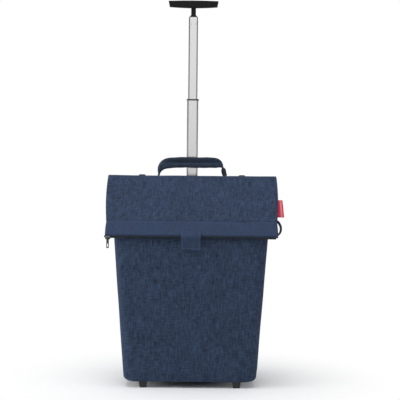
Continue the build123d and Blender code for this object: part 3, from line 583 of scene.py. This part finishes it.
# each row: the group, a colour (three display values or four linear ones), the group's numbers, the
# bump in mm, and where they aren't the usual ones, the fixed parts of the shader and the coordinate
FINISHES = {
    "melange_fabric": ("weave", NAVY, WEAVE, 0.25, TINTED, "UV"),
    "plain_fabric": ("weave", PLAIN_NAVY, TIGHT, 0.12, TINTED, "UV"),
    "plain_fabric_flat": ("weave", PLAIN_NAVY, TIGHT, 0.12, CLOTH),
    "webbing": ("webbing", DARK_NAVY, RIBS, 0.3, CLOTH, "UV"),
    "webbing_flat": ("webbing", DARK_NAVY, RIBS, 0.3, CLOTH),
    "grip_fabric": ("weave", (48, 59, 76), TIGHT, 0.15, CLOTH),
    "grip_upper": ("weave", (28, 40, 56), TIGHT, 0.15, CLOTH),
    "hook_and_loop": ("weave", (28, 34, 44), WEAVE, 0.8, CLOTH),
    "label_fabric": ("weave", (196, 50, 74), TIGHT, 0.1, CLOTH, "UV"),
    "label_stripe": ("weave", (236, 128, 134), TIGHT, 0.1, CLOTH, "UV"),
    "stitch_thread": ("weave", (72, 86, 110), TIGHT, 0.05, CLOTH),
    "stiffener": ("moulded", (88, 88, 90), {"Rough": 0.7}, 0.05),
    "anodised_tube": ("metal", (0.87, 0.865, 0.86, 1), {"Rough": 0.2}, 0.001, METAL),
    "black_plastic": ("moulded", (31, 31, 30), {"Rough": 0.75}, 0.06, {"Specular IOR Level": 0.08}),
    "grey_plastic": ("moulded", (58, 58, 60), {"Rough": 0.5}, 0.06),
    "wheel_rubber": ("moulded", (30, 30, 31), {"Rough": 0.75}, 0.1),
    "hub_plastic": ("moulded", (96, 97, 99), {"Rough": 0.4}, 0.04),
    "foot_rubber": ("moulded", (40, 40, 41), {"Rough": 0.7}, 0.1),
    "zip_coil": ("moulded", (26, 31, 40), {"Rough": 0.4}, 0.02),
    "zip_metal": ("metal", (0.09, 0.09, 0.092, 1), {"Rough": 0.55}, 0.01, METAL),
    "steel": ("metal", (0.56, 0.57, 0.58, 1), {"Rough": 0.3}, 0.01, METAL),
}
MATERIALS = {name: material(name, *finish) for name, finish in FINISHES.items()}
print("materials:", len(MATERIALS))


def dress(piece, finish, body=None, replaces=()):
    """Gives a finished piece its material and its body, and hides the CAD nodes that it stands for."""
    piece.data.materials.clear()
    piece.data.materials.append(MATERIALS[finish])
    if body:
        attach(piece, body)
    if replaces:
        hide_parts(*replaces)
    print(piece.name, "-", len(piece.data.polygons), "faces")
    return piece


# %% [markdown]
# The bag is one lofted shell: level sections from the floor to the mouth, each a rectangle with
# soft corners. Its front runs straight up and then leans back under the flap, its sides widen
# evenly, and near the top they tuck in like a paper bag's. Five flat panels would show hard
# edges, and a real bag of this kind has none.

# %% The bag's shell
BAG_WALL = 1.6 * MM
CORNER = 26 * MM
PATCH_PLACE = centre("closure_patch")
FRONT_POINTS, SIDE_POINTS, CORNER_POINTS = 61, 25, 10
EDGE_ROWS, WALL_ROWS = 9, 110


def section_walls(z):
    """The front, the back and the half-width of the bag at heights z.

    The front is a smooth maximum of the upright front and the line that leans back under the flap.
    """
    under = 2 * MM
    along = (FOLD[2] + under * OUT[2] - z) / -DOWN[2]
    leaning = FOLD[1] + along * DOWN[1] + under * OUT[1]
    soft = 5 * MM
    front = (FRONT + leaning + np.sqrt((FRONT - leaning) ** 2 + soft**2)) / 2
    top_y = FOLD[1] + FOLD_OUTER
    back = np.interp(z, [BACK_BEND, FOLD[2]], [BACK, top_y])
    half = HALF_LOW + (HALF_TOP - HALF_LOW) * (z - FLOOR) / (MOUTH - FLOOR)
    return front, back, half


def soft_rectangle(front, back, half, radius, tuck):
    """Closed sections, one per row, from the front round the right side, the back and the left side.

    Straight stretches are spaced evenly, corners are quarter turns, and the sides move in by
    tuck times the cosine of the way across them.
    """
    front, back, half, radius, tuck = (v[:, None] for v in (front, back, half, radius, tuck))
    flat = np.linspace(-1, 1, FRONT_POINTS)[None]
    short = np.linspace(-1, 1, SIDE_POINTS)[None]
    turn = np.linspace(0, math.pi / 2, CORNER_POINTS + 2)[1:-1][None]
    inner_x, low_y, high_y = half - radius, front + radius, back - radius
    middle_y, half_y = (low_y + high_y) / 2, (high_y - low_y) / 2
    side_x = half - tuck * np.cos(short * math.pi / 2) ** 2
    level = np.ones_like(flat)
    sine, cosine = radius * np.sin(turn), radius * np.cos(turn)
    x = [flat * inner_x, inner_x + sine, side_x, inner_x + cosine,
         -flat * inner_x, -inner_x - sine, -side_x, -inner_x - cosine]
    y = [level * front, low_y - cosine, middle_y + short * half_y, high_y + sine,
         level * back, high_y + cosine, middle_y - short * half_y, low_y - sine]
    return np.concatenate(x, 1), np.concatenate(y, 1)


def bag_shell():
    """The bag from the middle of its floor, out over a rounded lower edge and up to the mouth."""
    edge = 12 * MM
    bend = np.linspace(0, math.pi / 2, EDGE_ROWS)
    heights = np.concatenate([FLOOR + edge * (1 - np.cos(bend)),
                              np.linspace(FLOOR + edge, MOUTH, WALL_ROWS)[1:]])
    shrink = np.concatenate([edge * (1 - np.sin(bend)), np.zeros(WALL_ROWS - 1)])
    front, back, half = section_walls(np.maximum(heights, FLOOR + MM))
    depth = back - front
    radius = np.minimum(CORNER, 0.46 * depth)
    tuck = 24 * MM * ease((heights - BACK_BEND) / (0.8 * (MOUTH - BACK_BEND)))
    tight_edge = 0.35 * shrink
    x, y = soft_rectangle(front + tight_edge, back - tight_edge, half - shrink, radius, tuck)
    z = np.broadcast_to(heights[:, None], x.shape).copy()
    back_rise, rise_length = FOLD[2] - MM - MOUTH, 30 * MM
    share = (y - front[:, None]) / depth[:, None]
    z += back_rise * np.clip(share, 0, 1) * ease((heights - MOUTH + rise_length) / rise_length)[:, None]
    # the floor: the lowest section drawn in towards its middle
    middle = np.array([0.0, (front[0] + back[0]) / 2])
    draw_in = np.array([0.03, 0.35, 0.7, 0.93])[:, None]
    x = np.concatenate([draw_in * x[:1], x])
    y = np.concatenate([middle[1] + draw_in * (y[:1] - middle[1]), y])
    z = np.concatenate([np.full((len(draw_in), x.shape[1]), FLOOR), z])
    points = np.stack([x, y, z], -1)
    # each panel's threads hang straight from its own middle, so the cloth map jumps at the corners
    front_middle, level_row = FRONT_POINTS // 2, 60
    girth = girth_of(points)
    girth -= girth[:, front_middle:front_middle + 1]
    first = FRONT_POINTS + CORNER_POINTS // 2
    for count in (SIDE_POINTS, FRONT_POINTS, SIDE_POINTS):
        last = first + CORNER_POINTS + count
        panel_middle = (first + last) // 2
        girth[:, first:last] -= girth[:, [panel_middle]] - girth[level_row, panel_middle]
        first = last
    girth[:, first:] -= girth[:, -1:] - girth[:, :1]
    climb = travelled(points[:, front_middle])
    # cloth waves: outwards on the front and sides, and none round the patch or against the back
    sideways = np.sign(x) * ease((abs(x) - half.min() * 0.75) / CORNER)
    outward = unit(np.stack([sideways, np.sign(y - middle[1]), 0 * x], -1))
    near_x, near_z = (x - PATCH_PLACE[0]) / (45 * MM), (z - PATCH_PLACE[2]) / (30 * MM)
    patch = np.exp(-(near_x ** 2 + near_z ** 2) ** 2)
    free = ease((z - FLOOR - 4 * MM) / (40 * MM)) * (y < middle[1] + 0.04) * (1 - patch)
    waves = 0.5 + 0.9 * ripple(x + y, z * 0.5, largest=0.2) + 0.35 * ripple(x * 2 + y, z * 0.3, 5)
    points += outward * (free * np.clip(waves, -0.3, 1.8) * MM)[..., None]
    return grid_piece("bag_body", points, cloth_map(girth, climb), open_end=True)


bag = bag_shell()
wall = bag.modifiers.new("wall", "SOLIDIFY")
wall.thickness, wall.offset = BAG_WALL, -1.0
dress(bag, "melange_fabric", "bag",
      ["bag_front_panel", "bag_back_panel", "bag_side_left", "bag_side_right", "bag_bottom_panel"])

# %% [markdown]
# The folded top is the bag's character. Its cloth is a flattened tube: it starts inside the back
# of the mouth, rolls round the fold line and lies down the slope. The roll and the slope are one
# path, so there is no seam where they meet. The plain band is sewn on below, and both pieces
# thin out towards that seam, which leaves the groove that a real seam has.

# %% The flap and its band
SEAM_DIP = 0.12
SEAM = BAND_START + 4.5 * MM
FLAP_SHIFT = 1.2 * MM
FLAP_BULGE = 7.4 * MM
FLAP_AT_FOLD, FLAP_AT_SEAM, FLAP_AT_END = (2 * FLAP_HALF + more * MM for more in (3.5, -0.4, 2.0))


def flap_cover():
    """The melange part: a path up inside the mouth, round the fold line and down to the band's seam."""
    tuck_in, thin = 14 * MM, 3 * MM
    rise = np.linspace(-tuck_in, 0, 8)[:-1]
    inside = np.stack([0 * rise, FOLD[1] + MIDDLE + 0 * rise, FOLD[2] + rise], -1)
    angle = np.linspace(0, math.atan2(OUT[2], OUT[1]), 30)[:-1]
    roll = FOLD + MIDDLE * np.stack([0 * angle, np.cos(angle), np.sin(angle)], -1)
    slope = flap_place(0.0, np.linspace(0, SEAM, 60), MIDDLE)
    path = np.concatenate([inside, roll, slope])
    reach = travelled(path)
    total = reach[-1]
    swell = ease((reach - tuck_in + 2 * MM) / (4 * MM))
    seam = 1 - SEAM_DIP * np.exp(-((total - reach) / (3.5 * MM)) ** 2)
    thick = (thin + (THICK - thin) * swell) * seam
    path[:, 0] = FLAP_SHIFT
    share = np.clip((reach - tuck_in) / (total - tuck_in), 0, 1)
    bulge = FLAP_BULGE * np.sin(math.pi * share)
    wide = FLAP_AT_FOLD + (FLAP_AT_SEAM - FLAP_AT_FOLD) * share + bulge - 6.5 * MM * (1 - swell)
    return strap("flap_cover", path, (1, 0, 0), wide, thick, across=81, edge=7, roundness=0.4)


def band_cover():
    """The plain band: from the seam to a rounded lower edge."""
    edge = 5 * MM
    along = np.concatenate([np.linspace(SEAM, BAND_END - edge, 22),
                            BAND_END - edge * (1 - np.sin(np.linspace(0, 1.45, 9)[1:]))])
    seam = 1 - SEAM_DIP * np.exp(-((along - SEAM) / (3.0 * MM)) ** 2)
    end = np.sqrt(np.clip(1 - (np.clip(along - BAND_END + edge, 0, None) / edge) ** 2, 0.01, 1))
    wide = FLAP_AT_SEAM + (FLAP_AT_END - FLAP_AT_SEAM) * ease((along - SEAM) / (24 * MM))
    wide = wide - 1.5 * MM * (1 - end)
    path = flap_place(FLAP_SHIFT, along, MIDDLE)
    thick = THICK * end * seam
    return strap("flap_band_cover", path, (1, 0, 0), wide, thick, across=81, edge=7, roundness=0.5)


def sag(piece, size, seed):
    """Gentle waves on a finished piece, along its own normals, so that no panel is perfectly flat."""
    mesh = piece.data
    co, normal = vertex_values(mesh, "co"), vertex_values(mesh, "normal")
    waves = ripple(co[:, 0], (co - FOLD) @ DOWN, seed, largest=0.2)
    facing = np.clip(normal @ OUT, 0, 1)
    co += normal * (size * waves * facing)[:, None]
    mesh.vertices.foreach_set("co", co.ravel())
    mesh.update()


cover = flap_cover()
sag(cover, 0.9 * MM, 3)
dress(cover, "melange_fabric", replaces=["flap_panel", "top_fold"])
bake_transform(cover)
band = band_cover()
sag(band, 0.4 * MM, 4)
dress(band, "plain_fabric", "flap", ["flap_band"])
row_start, row_end = (flap_place(x, SEAM + 4 * MM, MIDDLE + THICK / 2 - 0.1 * MM)
                      for x in (8 * MM - FLAP_HALF, FLAP_HALF - 8 * MM))
places, directions = row_between(row_start, row_end)
band_thread = stitches("band_stitches", places, directions, np.broadcast_to(OUT, places.shape))
dress(band_thread, "stitch_thread", "flap")

# %% [markdown]
# A coil zip is one nylon thread wound in a flat spiral. A tube follows a helix along the flap's
# lower edge: the sweep angle gives the turn, and the run along X is proportional to it. There
# are a hundred and forty turns, so the tube has only five sides.

# %% Zip coil, ribbon loop and label


def zip_coil():
    """A helix along X with an oval turn, swept by a thin round thread."""
    low, high = node_box("zip_teeth")
    turns, steps, sides = 140, 10, 5
    angle = np.linspace(0, turns * math.tau, turns * steps + 1)
    x = low[0] + (high[0] - low[0]) * angle / angle[-1]
    coil_place = centre("zip_teeth") - FOLD
    along, out = coil_place @ DOWN, coil_place @ OUT
    thread = 0.42 * MM
    path = flap_place(x, along + 0.9 * MM * np.cos(angle), out + 1.3 * MM * np.sin(angle))
    direction = unit(np.gradient(path, axis=0))
    first = unit(np.cross(direction, (1.0, 0, 0)))
    second = np.cross(direction, first)
    turn = np.arange(sides) * math.tau / sides
    ring = first[:, None] * np.cos(turn)[:, None] + second[:, None] * np.sin(turn)[:, None]
    uv = cloth_map(np.arange(sides + 1) * thread, travelled(path))
    return grid_piece("zip_coil_thread", path[:, None] + thread * ring, uv)


def side_loop():
    """The ribbon at the band's right end: a soft D that leans, so that its width shows."""
    reach = [-6, 0.5, 5.5, 9.3, 9.6, 7, 2, -5, -10]
    share = [-0.06, -0.03, 0.1, 0.3, 0.51, 0.69, 0.82, 0.87, 0.88]
    corners = [(FLAP_HALF + r * MM, BAND_START + s * (BAND_END - BAND_START))
               for r, s in zip(reach, share)]
    count, lean_at_start, more_lean = 40, 34, 40
    line = smooth_line(corners, count)
    path = flap_place(line[:, 0], line[:, 1], MIDDLE + 0.6 * MM * np.sin(np.linspace(0, 5, count)))
    lean = np.radians(lean_at_start + more_lean * np.linspace(0, 1, count) ** 2)[:, None]
    level = unit(np.cross(OUT, np.gradient(path, axis=0)))
    side = OUT * np.cos(lean) + level * np.sin(lean)
    return strap("ribbon_loop", path, side, 7.5 * MM, 1.5 * MM, across=7)


LABEL_ACROSS, LABEL_EDGE = 15, 3


def side_label():
    """A blank woven label, sewn into the flap's side and flaring a little at its lower end."""
    low, high = node_box("side_label")
    middle = centre("side_label") - FOLD
    length = (high[2] - low[2] - 1.2 * MM * OUT[2]) / -DOWN[2] - 4 * MM
    share = np.linspace(0, 1, 26)
    along = middle @ DOWN + 5 * MM + (share - 0.5) * length
    reach = high[0] - FLAP_HALF
    overlap = 4 * MM
    width = reach * (1.1 + 0.18 * share) + overlap
    x = FLAP_HALF - overlap + width / 2
    curl = MIDDLE + 1.6 * MM * np.sin(share * math.pi * 1.5)
    path = flap_place(x, along, curl)
    return strap("red_label", path, (1, 0, 0), width, 1.3 * MM, across=LABEL_ACROSS, edge=LABEL_EDGE)


def zip_tail():
    """The folded tape on the zip's end: it narrows outwards and droops a little."""
    low, high = node_box("zip_end_tab")
    share = np.linspace(0, 1, 16)
    along = (centre("zip_end_tab") - FOLD) @ DOWN + 4 * MM + 1.5 * MM * np.sin(share * math.pi)
    x = high[0] + 9 * MM - (high[0] - low[0] - 1.5 * MM) * share
    thick = 3.2 * MM + 2.6 * MM * np.sin(math.pi * (0.15 + 0.75 * share))
    return strap("zip_tail", flap_place(x, along, MIDDLE), OUT, 8 * MM * (1 - 0.35 * share), thick)


dress(zip_tail(), "webbing", "flap", ["zip_end_tab"])
dress(zip_coil(), "zip_coil", "flap", ["zip_teeth"])
dress(side_loop(), "webbing", "flap", ["zip_tail_loop"])
label = side_label()
dress(label, "label_fabric", "flap", ["side_label"])
label.data.materials.append(MATERIALS["label_stripe"])
# the stripe: three columns of the label's outer face, next to its free end
stripe = LABEL_ACROSS + LABEL_EDGE + 2
column = np.arange(len(label.data.polygons)) % (2 * (LABEL_ACROSS + LABEL_EDGE))
in_stripe = (column >= stripe) & (column < stripe + 3)
label.data.polygons.foreach_set("material_index", in_stripe.astype(np.int32))

# %% [markdown]
# The closing tab starts on the band, turns over the flap's lower edge and lies against the bag.
# Its path has only seven chosen corners, and cutting the corners off three times makes it smooth.
# Stitches run down both sides and across its end, because that is how a doubled tab is made.

# %% Closing tab


def closing_tab():
    """The doubled tab, from the band's face round the lower edge and down the bag's front."""
    low, high = node_box("closure_tab")
    thickness = 1.9 * MM
    hook_face = node_box("tab_hook_patch")[0][1] - thickness / 2
    edge = flap_place(0.0, BAND_END, FOLD_OUTER)
    top = flap_place(0.0, BAND_END - 13 * MM, FOLD_OUTER + 0.5 * MM)
    bend = flap_place(0.0, BAND_END - 3 * MM, FOLD_OUTER + 1.0 * MM)
    corners = [top, bend, (0, low[1] + 0.4 * MM, edge[2] - 3 * MM),
               (0, hook_face - 3 * MM, edge[2] - 12 * MM), (0, hook_face, edge[2] - 20 * MM),
               (0, hook_face, low[2] + 8 * MM), (0, hook_face, low[2])]
    count = 46
    path = smooth_line(corners, count)
    share = np.linspace(0, 1, count)
    width = (high[0] - low[0]) * (1 - 0.05 * ease((share - 0.93) / 0.07))
    return strap("closing_tab", path, (1, 0, 0), width, thickness, across=21, edge=4), path


tab, tab_path = closing_tab()
dress(tab, "plain_fabric", replaces=["closure_tab"])
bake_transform(tab)


def tab_stitches():
    """Stitches down both sides of the tab and across its lower end, on its outer face."""
    reach = travelled(tab_path)
    even = np.arange(3 * MM, reach[-1] - 3 * MM, STITCH_PITCH)
    line = np.stack([np.interp(even, reach, tab_path[:, k]) for k in range(3)], -1)
    direction = np.gradient(line, axis=0)
    outward = np.cross(direction, (1.0, 0, 0))
    outward *= np.sign(outward[:, 1].mean()) * -1
    outward = unit(outward)
    half = node_box("closure_tab")[1][0] - 3 * MM
    face = line + outward * 0.95 * MM
    side = np.array([half, 0, 0])
    x = np.arange(-half + 2.3 * MM, half, STITCH_PITCH)
    foot = np.broadcast_to(face[-1], (len(x), 3)).copy()
    foot[:, 0] = x
    places = np.concatenate([face - side, face + side, foot])
    directions = np.concatenate([direction, direction, np.broadcast_to((1.0, 0, 0), foot.shape)])
    normals = np.concatenate([outward, outward, np.broadcast_to(outward[-1], foot.shape)])
    return stitches("tab_stitches", places, directions, normals)


tab_thread = tab_stitches()
dress(tab_thread, "stitch_thread")
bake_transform(tab_thread)

# %% [markdown]
# The carry handle is a webbing loop with a padded grip wrapped round its top. The strap is one
# sweep that twists at its feet, more at the right one, since webbing never stands quite straight.
# The grip is inflated like a cushion: remeshed evenly, blown up by a cloth simulation with a
# little pressure, and held at the crease where the wrap is sewn shut.

# %% Carry handle
HANDLE_Y = joint_place("carry_handle_tilt")[1]
ANCHOR_TOP = node_box("handle_ends")[0][2]
STRAP_LOW, STRAP_HIGH = node_box("carry_handle_strap")
GRIP_LOW, GRIP_HIGH = node_box("carry_handle_grip")

# The handle's line from the left foot to the right: shares of its half-span, of its rise and of
# the grip's half-height. RIGHT_FOOT goes on with bare webbing, so it has no third share.
HANDLE_LINE = [(-0.98, 0.20, 0.20), (-0.965, 0.42, 0.42), (-0.92, 0.64, 0.78), (-0.82, 0.845, 1.08),
               (-0.66, 0.96, 1.14), (-0.3, 0.98, 1.14), (0.3, 0.98, 1.14), (0.62, 0.975, 1.14),
               (0.77, 0.93, 1.0), (0.86, 0.80, 0.60), (0.90, 0.69, 0.24), (0.915, 0.62, 0.10)]
RIGHT_FOOT = [(0.935, 0.48), (0.95, 0.26)]
RIGHT_TWIST, LEFT_TWIST = math.radians(34), math.radians(9)
SPAN, RISE = STRAP_HIGH[0] - 1.3 * MM, (GRIP_LOW[2] + GRIP_HIGH[2]) / 2 - ANCHOR_TOP
GRIP_HALF = (GRIP_HIGH - GRIP_LOW) / 2


def handle_strap():
    """The webbing: a tail on the bracket, up and over through the grip, and down to the other tail."""
    tail, floor = node_box("handle_anchors")[1][0] - 1 * MM, ANCHOR_TOP - 1.3 * MM
    tail_line = [(tail, floor), (SPAN + 9 * MM, floor), (SPAN + 1 * MM, floor),
                 (SPAN - 1 * MM, ANCHOR_TOP + 5 * MM)]
    over = [(point[0] * SPAN, ANCHOR_TOP + point[1] * RISE) for point in HANDLE_LINE + RIGHT_FOOT]
    line = [(-x, z) for x, z in tail_line] + over + tail_line[::-1]
    flat = smooth_line(line, 170)
    path = np.stack([flat[:, 0], 0 * flat[:, 0] + HANDLE_Y, flat[:, 1]], -1)
    climb = path[:, 2] - ANCHOR_TOP
    foot = ease(climb / (7 * MM)) * ease((ANCHOR_TOP + 0.74 * RISE - path[:, 2]) / (0.25 * RISE))
    twist = RIGHT_TWIST * foot * (path[:, 0] > 0) - LEFT_TWIST * foot * (path[:, 0] < 0)
    side = np.stack([np.sin(twist), np.cos(twist), 0 * twist], -1)
    width = STRAP_HIGH[1] - STRAP_LOW[1]
    return strap("handle_webbing", path, side, width, (2.6 + foot) * MM, across=11)


def grip_form(swollen):
    """The padded sleeve along the handle's line: two soft lobes in the middle, slim at its ends.

    The section is a superellipse of power 2.6 in the plane across the line. A crease at mid height
    presses it in, front and back, by a bell curve. swollen scales it, so that a simulation can
    start from a slimmer form.
    """
    line = smooth_line(HANDLE_LINE, 90)
    path = np.stack([line[:, 0] * SPAN, 0 * line[:, 0] + HANDLE_Y, ANCHOR_TOP + line[:, 1] * RISE], -1)
    upward = np.cross(unit(np.gradient(path, axis=0)), (0, 1.0, 0)) * -1
    columns, power = 56, 2 / 2.6
    angle = np.arange(columns) * math.tau / columns
    cosine, sine = np.cos(angle), np.sin(angle)
    deep, tall = squared_off(cosine, power), squared_off(sine, power)
    high = swollen * GRIP_HALF[2] * line[:, 2:]
    wide = swollen * GRIP_HALF[1] * (0.84 + 0.16 * ease(line[:, 2:]))
    lobes = ease((line[:, 2:] - 0.45) / 0.5)
    crease = 3.2 * MM * lobes * np.exp(-(tall * high / (1.9 * MM)) ** 2)
    # the sewn sleeve isn't perfectly even: its lobes swell and slacken a little along it
    slow, fast = np.sin(path[:, :1] / (11 * MM)), np.sin(path[:, :1] / (5 * MM) + 1)
    uneven = 1 + 0.025 * slow * np.sign(sine) + 0.02 * fast
    depth = (deep * wide - np.sign(cosine) * crease)[..., None]
    height = (tall * high * uneven)[..., None]
    points = path[:, None] + depth * np.array([0, 1.0, 0]) + height * upward[:, None]
    uv = cloth_map(np.arange(columns + 1) * 1.4 * MM, travelled(path))
    return grid_piece("handle_grip", points[::-1], uv[::-1])


def inflate(piece, voxel, pressure, cap):
    """Blows a closed piece up by a cloth simulation, and applies it with its movement capped."""
    frames = 20
    scene = bpy.context.scene
    remesh = piece.modifiers.new("even", "REMESH")
    remesh.mode, remesh.voxel_size = "VOXEL", voxel
    view = bpy.context.evaluated_depsgraph_get()
    even = bpy.data.meshes.new_from_object(piece.evaluated_get(view))
    piece.modifiers.clear()
    piece.data = even
    start = vertex_values(even, "co")
    crease = np.exp(-((start[:, 2] - ANCHOR_TOP - RISE) / (2.5 * MM)) ** 2)
    ends = ease((abs(start[:, 0]) - 0.68 * SPAN) / (0.12 * SPAN))
    hold = np.clip(crease + ends, 0, 1)
    pins = piece.vertex_groups.new(name="held")
    for index, weight in enumerate(hold.tolist()):
        pins.add([index], weight, "REPLACE")
    cloth = piece.modifiers.new("blown", "CLOTH")
    cloth.settings.effector_weights.gravity = 0.0
    cloth.settings.use_pressure = True
    cloth.settings.uniform_pressure_force = pressure
    cloth.settings.vertex_group_mass = "held"
    cloth.settings.quality = 6
    cloth.point_cache.frame_start, cloth.point_cache.frame_end = 1, frames
    for number in range(1, frames + 1):
        scene.frame_set(number)
    view = bpy.context.evaluated_depsgraph_get()
    blown = bpy.data.meshes.new_from_object(piece.evaluated_get(view))
    shift = vertex_values(blown, "co") - start
    size = np.linalg.norm(shift, axis=1)
    shift *= (np.minimum(size, cap) / np.maximum(size, 1e-9))[:, None]
    piece.modifiers.clear()
    piece.vertex_groups.clear()
    scene.frame_set(1)
    even.vertices.foreach_set("co", (start + shift).ravel())
    even.polygons.foreach_set("use_smooth", np.ones(len(even.polygons), dtype=bool))
    even.update()
    print(piece.name, "moved up to", round(float(size.max()) / MM, 2), "mm")


SLIM = 0.93
grip = grip_form(SLIM)
inflate(grip, voxel=3.2 * MM, pressure=4.0, cap=2.5 * MM)
finer = grip.modifiers.new("finer", "SUBSURF")
finer.levels = finer.render_levels = 1
dress(grip, "grip_fabric", "carry_handle", ["carry_handle_grip"])
grip.data.materials.append(MATERIALS["grip_upper"])
above = np.array([face.center[2] > ANCHOR_TOP + RISE + 0.4 * MM for face in grip.data.polygons])
grip.data.polygons.foreach_set("material_index", above.astype(np.int32))


def anchor_pads():
    """The folded and sewn webbing ends: one low rounded pad on each tail, a superellipsoid of power 4."""
    low, high = node_box("handle_anchors")
    half = np.array([9 * MM, (high[1] - low[1]) / 2 - MM, 4.6 * MM])
    columns, power = 40, 0.5
    turn, climb = np.arange(columns) * math.tau / columns, np.linspace(-1.5, 1.5, 21)[:, None]
    flat = np.cos(climb) ** power
    x, y = flat * squared_off(np.cos(turn), power), flat * squared_off(np.sin(turn), power)
    z = np.broadcast_to(squared_off(np.sin(climb), power), x.shape)
    uv = cloth_map(np.arange(columns + 1) * 1.6 * MM, climb[:, 0] * 8 * MM)
    for name, sign in (("left", -1), ("right", 1)):
        place = np.array([sign * (high[0] - 9 * MM), HANDLE_Y, ANCHOR_TOP + 2.4 * MM])
        points = place + half * np.stack([x, y, z], -1)
        dress(grid_piece("handle_anchor_" + name, points, uv), "webbing", "bag")


webbing = handle_strap()
dress(webbing, "webbing", replaces=["carry_handle_strap", "handle_ends", "handle_anchors"])
anchor_pads()
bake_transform(webbing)

# %% [markdown]
# The post's fabric sleeve wraps round the outer tube and is stitched flat to the back on both
# sides. Its section is a path of chosen corners with a strap as tall as the sleeve carried
# along it, which is the same helper as before with the strap's width upright.

# %% Sleeve


def tube_sleeve():
    """The sleeve's cloth: from one flange round the tube's side, back and side to the other."""
    low, high = node_box("tube_sleeve")
    tube_high = node_box("outer_tube")[1]
    cloth, gap = 2.0 * MM, 0.5 * MM
    edge, side, back = high[0], tube_high[0] + gap + cloth / 2, tube_high[1] + gap + cloth / 2
    base = low[1] + cloth / 2
    right = [(edge, base), (edge - 12 * MM, base), (side + 5 * MM, base),
             (side + 0.5 * MM, base + 2 * MM), (side, base + 10 * MM), (side, back - 5 * MM),
             (side - 1.5 * MM, back - 1 * MM), (side - 5 * MM, back)]
    corners = [(x, y, 0) for x, y in right] + [(-x, y, 0) for x, y in right[::-1]]
    path = smooth_line(corners, 110, passes=2)
    path[:, 2] = (low[2] + high[2]) / 2
    return strap("post_sleeve", path, (0, 0, 1), high[2] - low[2], cloth, across=61, edge=2)


dress(tube_sleeve(), "plain_fabric", "bag", ["tube_sleeve"])
sleeve_low, sleeve_high = node_box("tube_sleeve")
for name, x in (("left", sleeve_low[0]), ("right", sleeve_high[0])):
    for number, inset in ((1, 4 * MM), (2, 18 * MM)):
        line_x = x - math.copysign(inset, x)
        start = (line_x, sleeve_low[1] + 2.0 * MM, sleeve_low[2] + 3 * MM)
        end = (line_x, sleeve_low[1] + 2.0 * MM, sleeve_high[2] - 3 * MM)
        places, directions = row_between(start, end)
        normals = np.broadcast_to((0, 1.0, 0), places.shape)
        thread = stitches(f"sleeve_stitches_{name}_{number}", places, directions, normals)
        dress(thread, "stitch_thread", "bag")

# %% [markdown]
# The CAD parts that are left keep their meshes and take the material of their slot. Fabric ones
# read object space, since a CAD mesh has no cloth map.

# %% CAD parts
FLAT_FINISH = {"plain_fabric": "plain_fabric_flat", "webbing": "webbing_flat",
               "melange_fabric": "plain_fabric_flat"}
shown = 0
for part in frame["record"]["subparts"]:
    node = frame["nodes"][part["node"]]
    if node.hide_render:
        continue
    finish = FLAT_FINISH.get(part["material_slot"], part["material_slot"])
    node.data.materials.clear()
    node.data.materials.append(MATERIALS[finish])
    shown += 1
print("CAD parts shown:", shown)
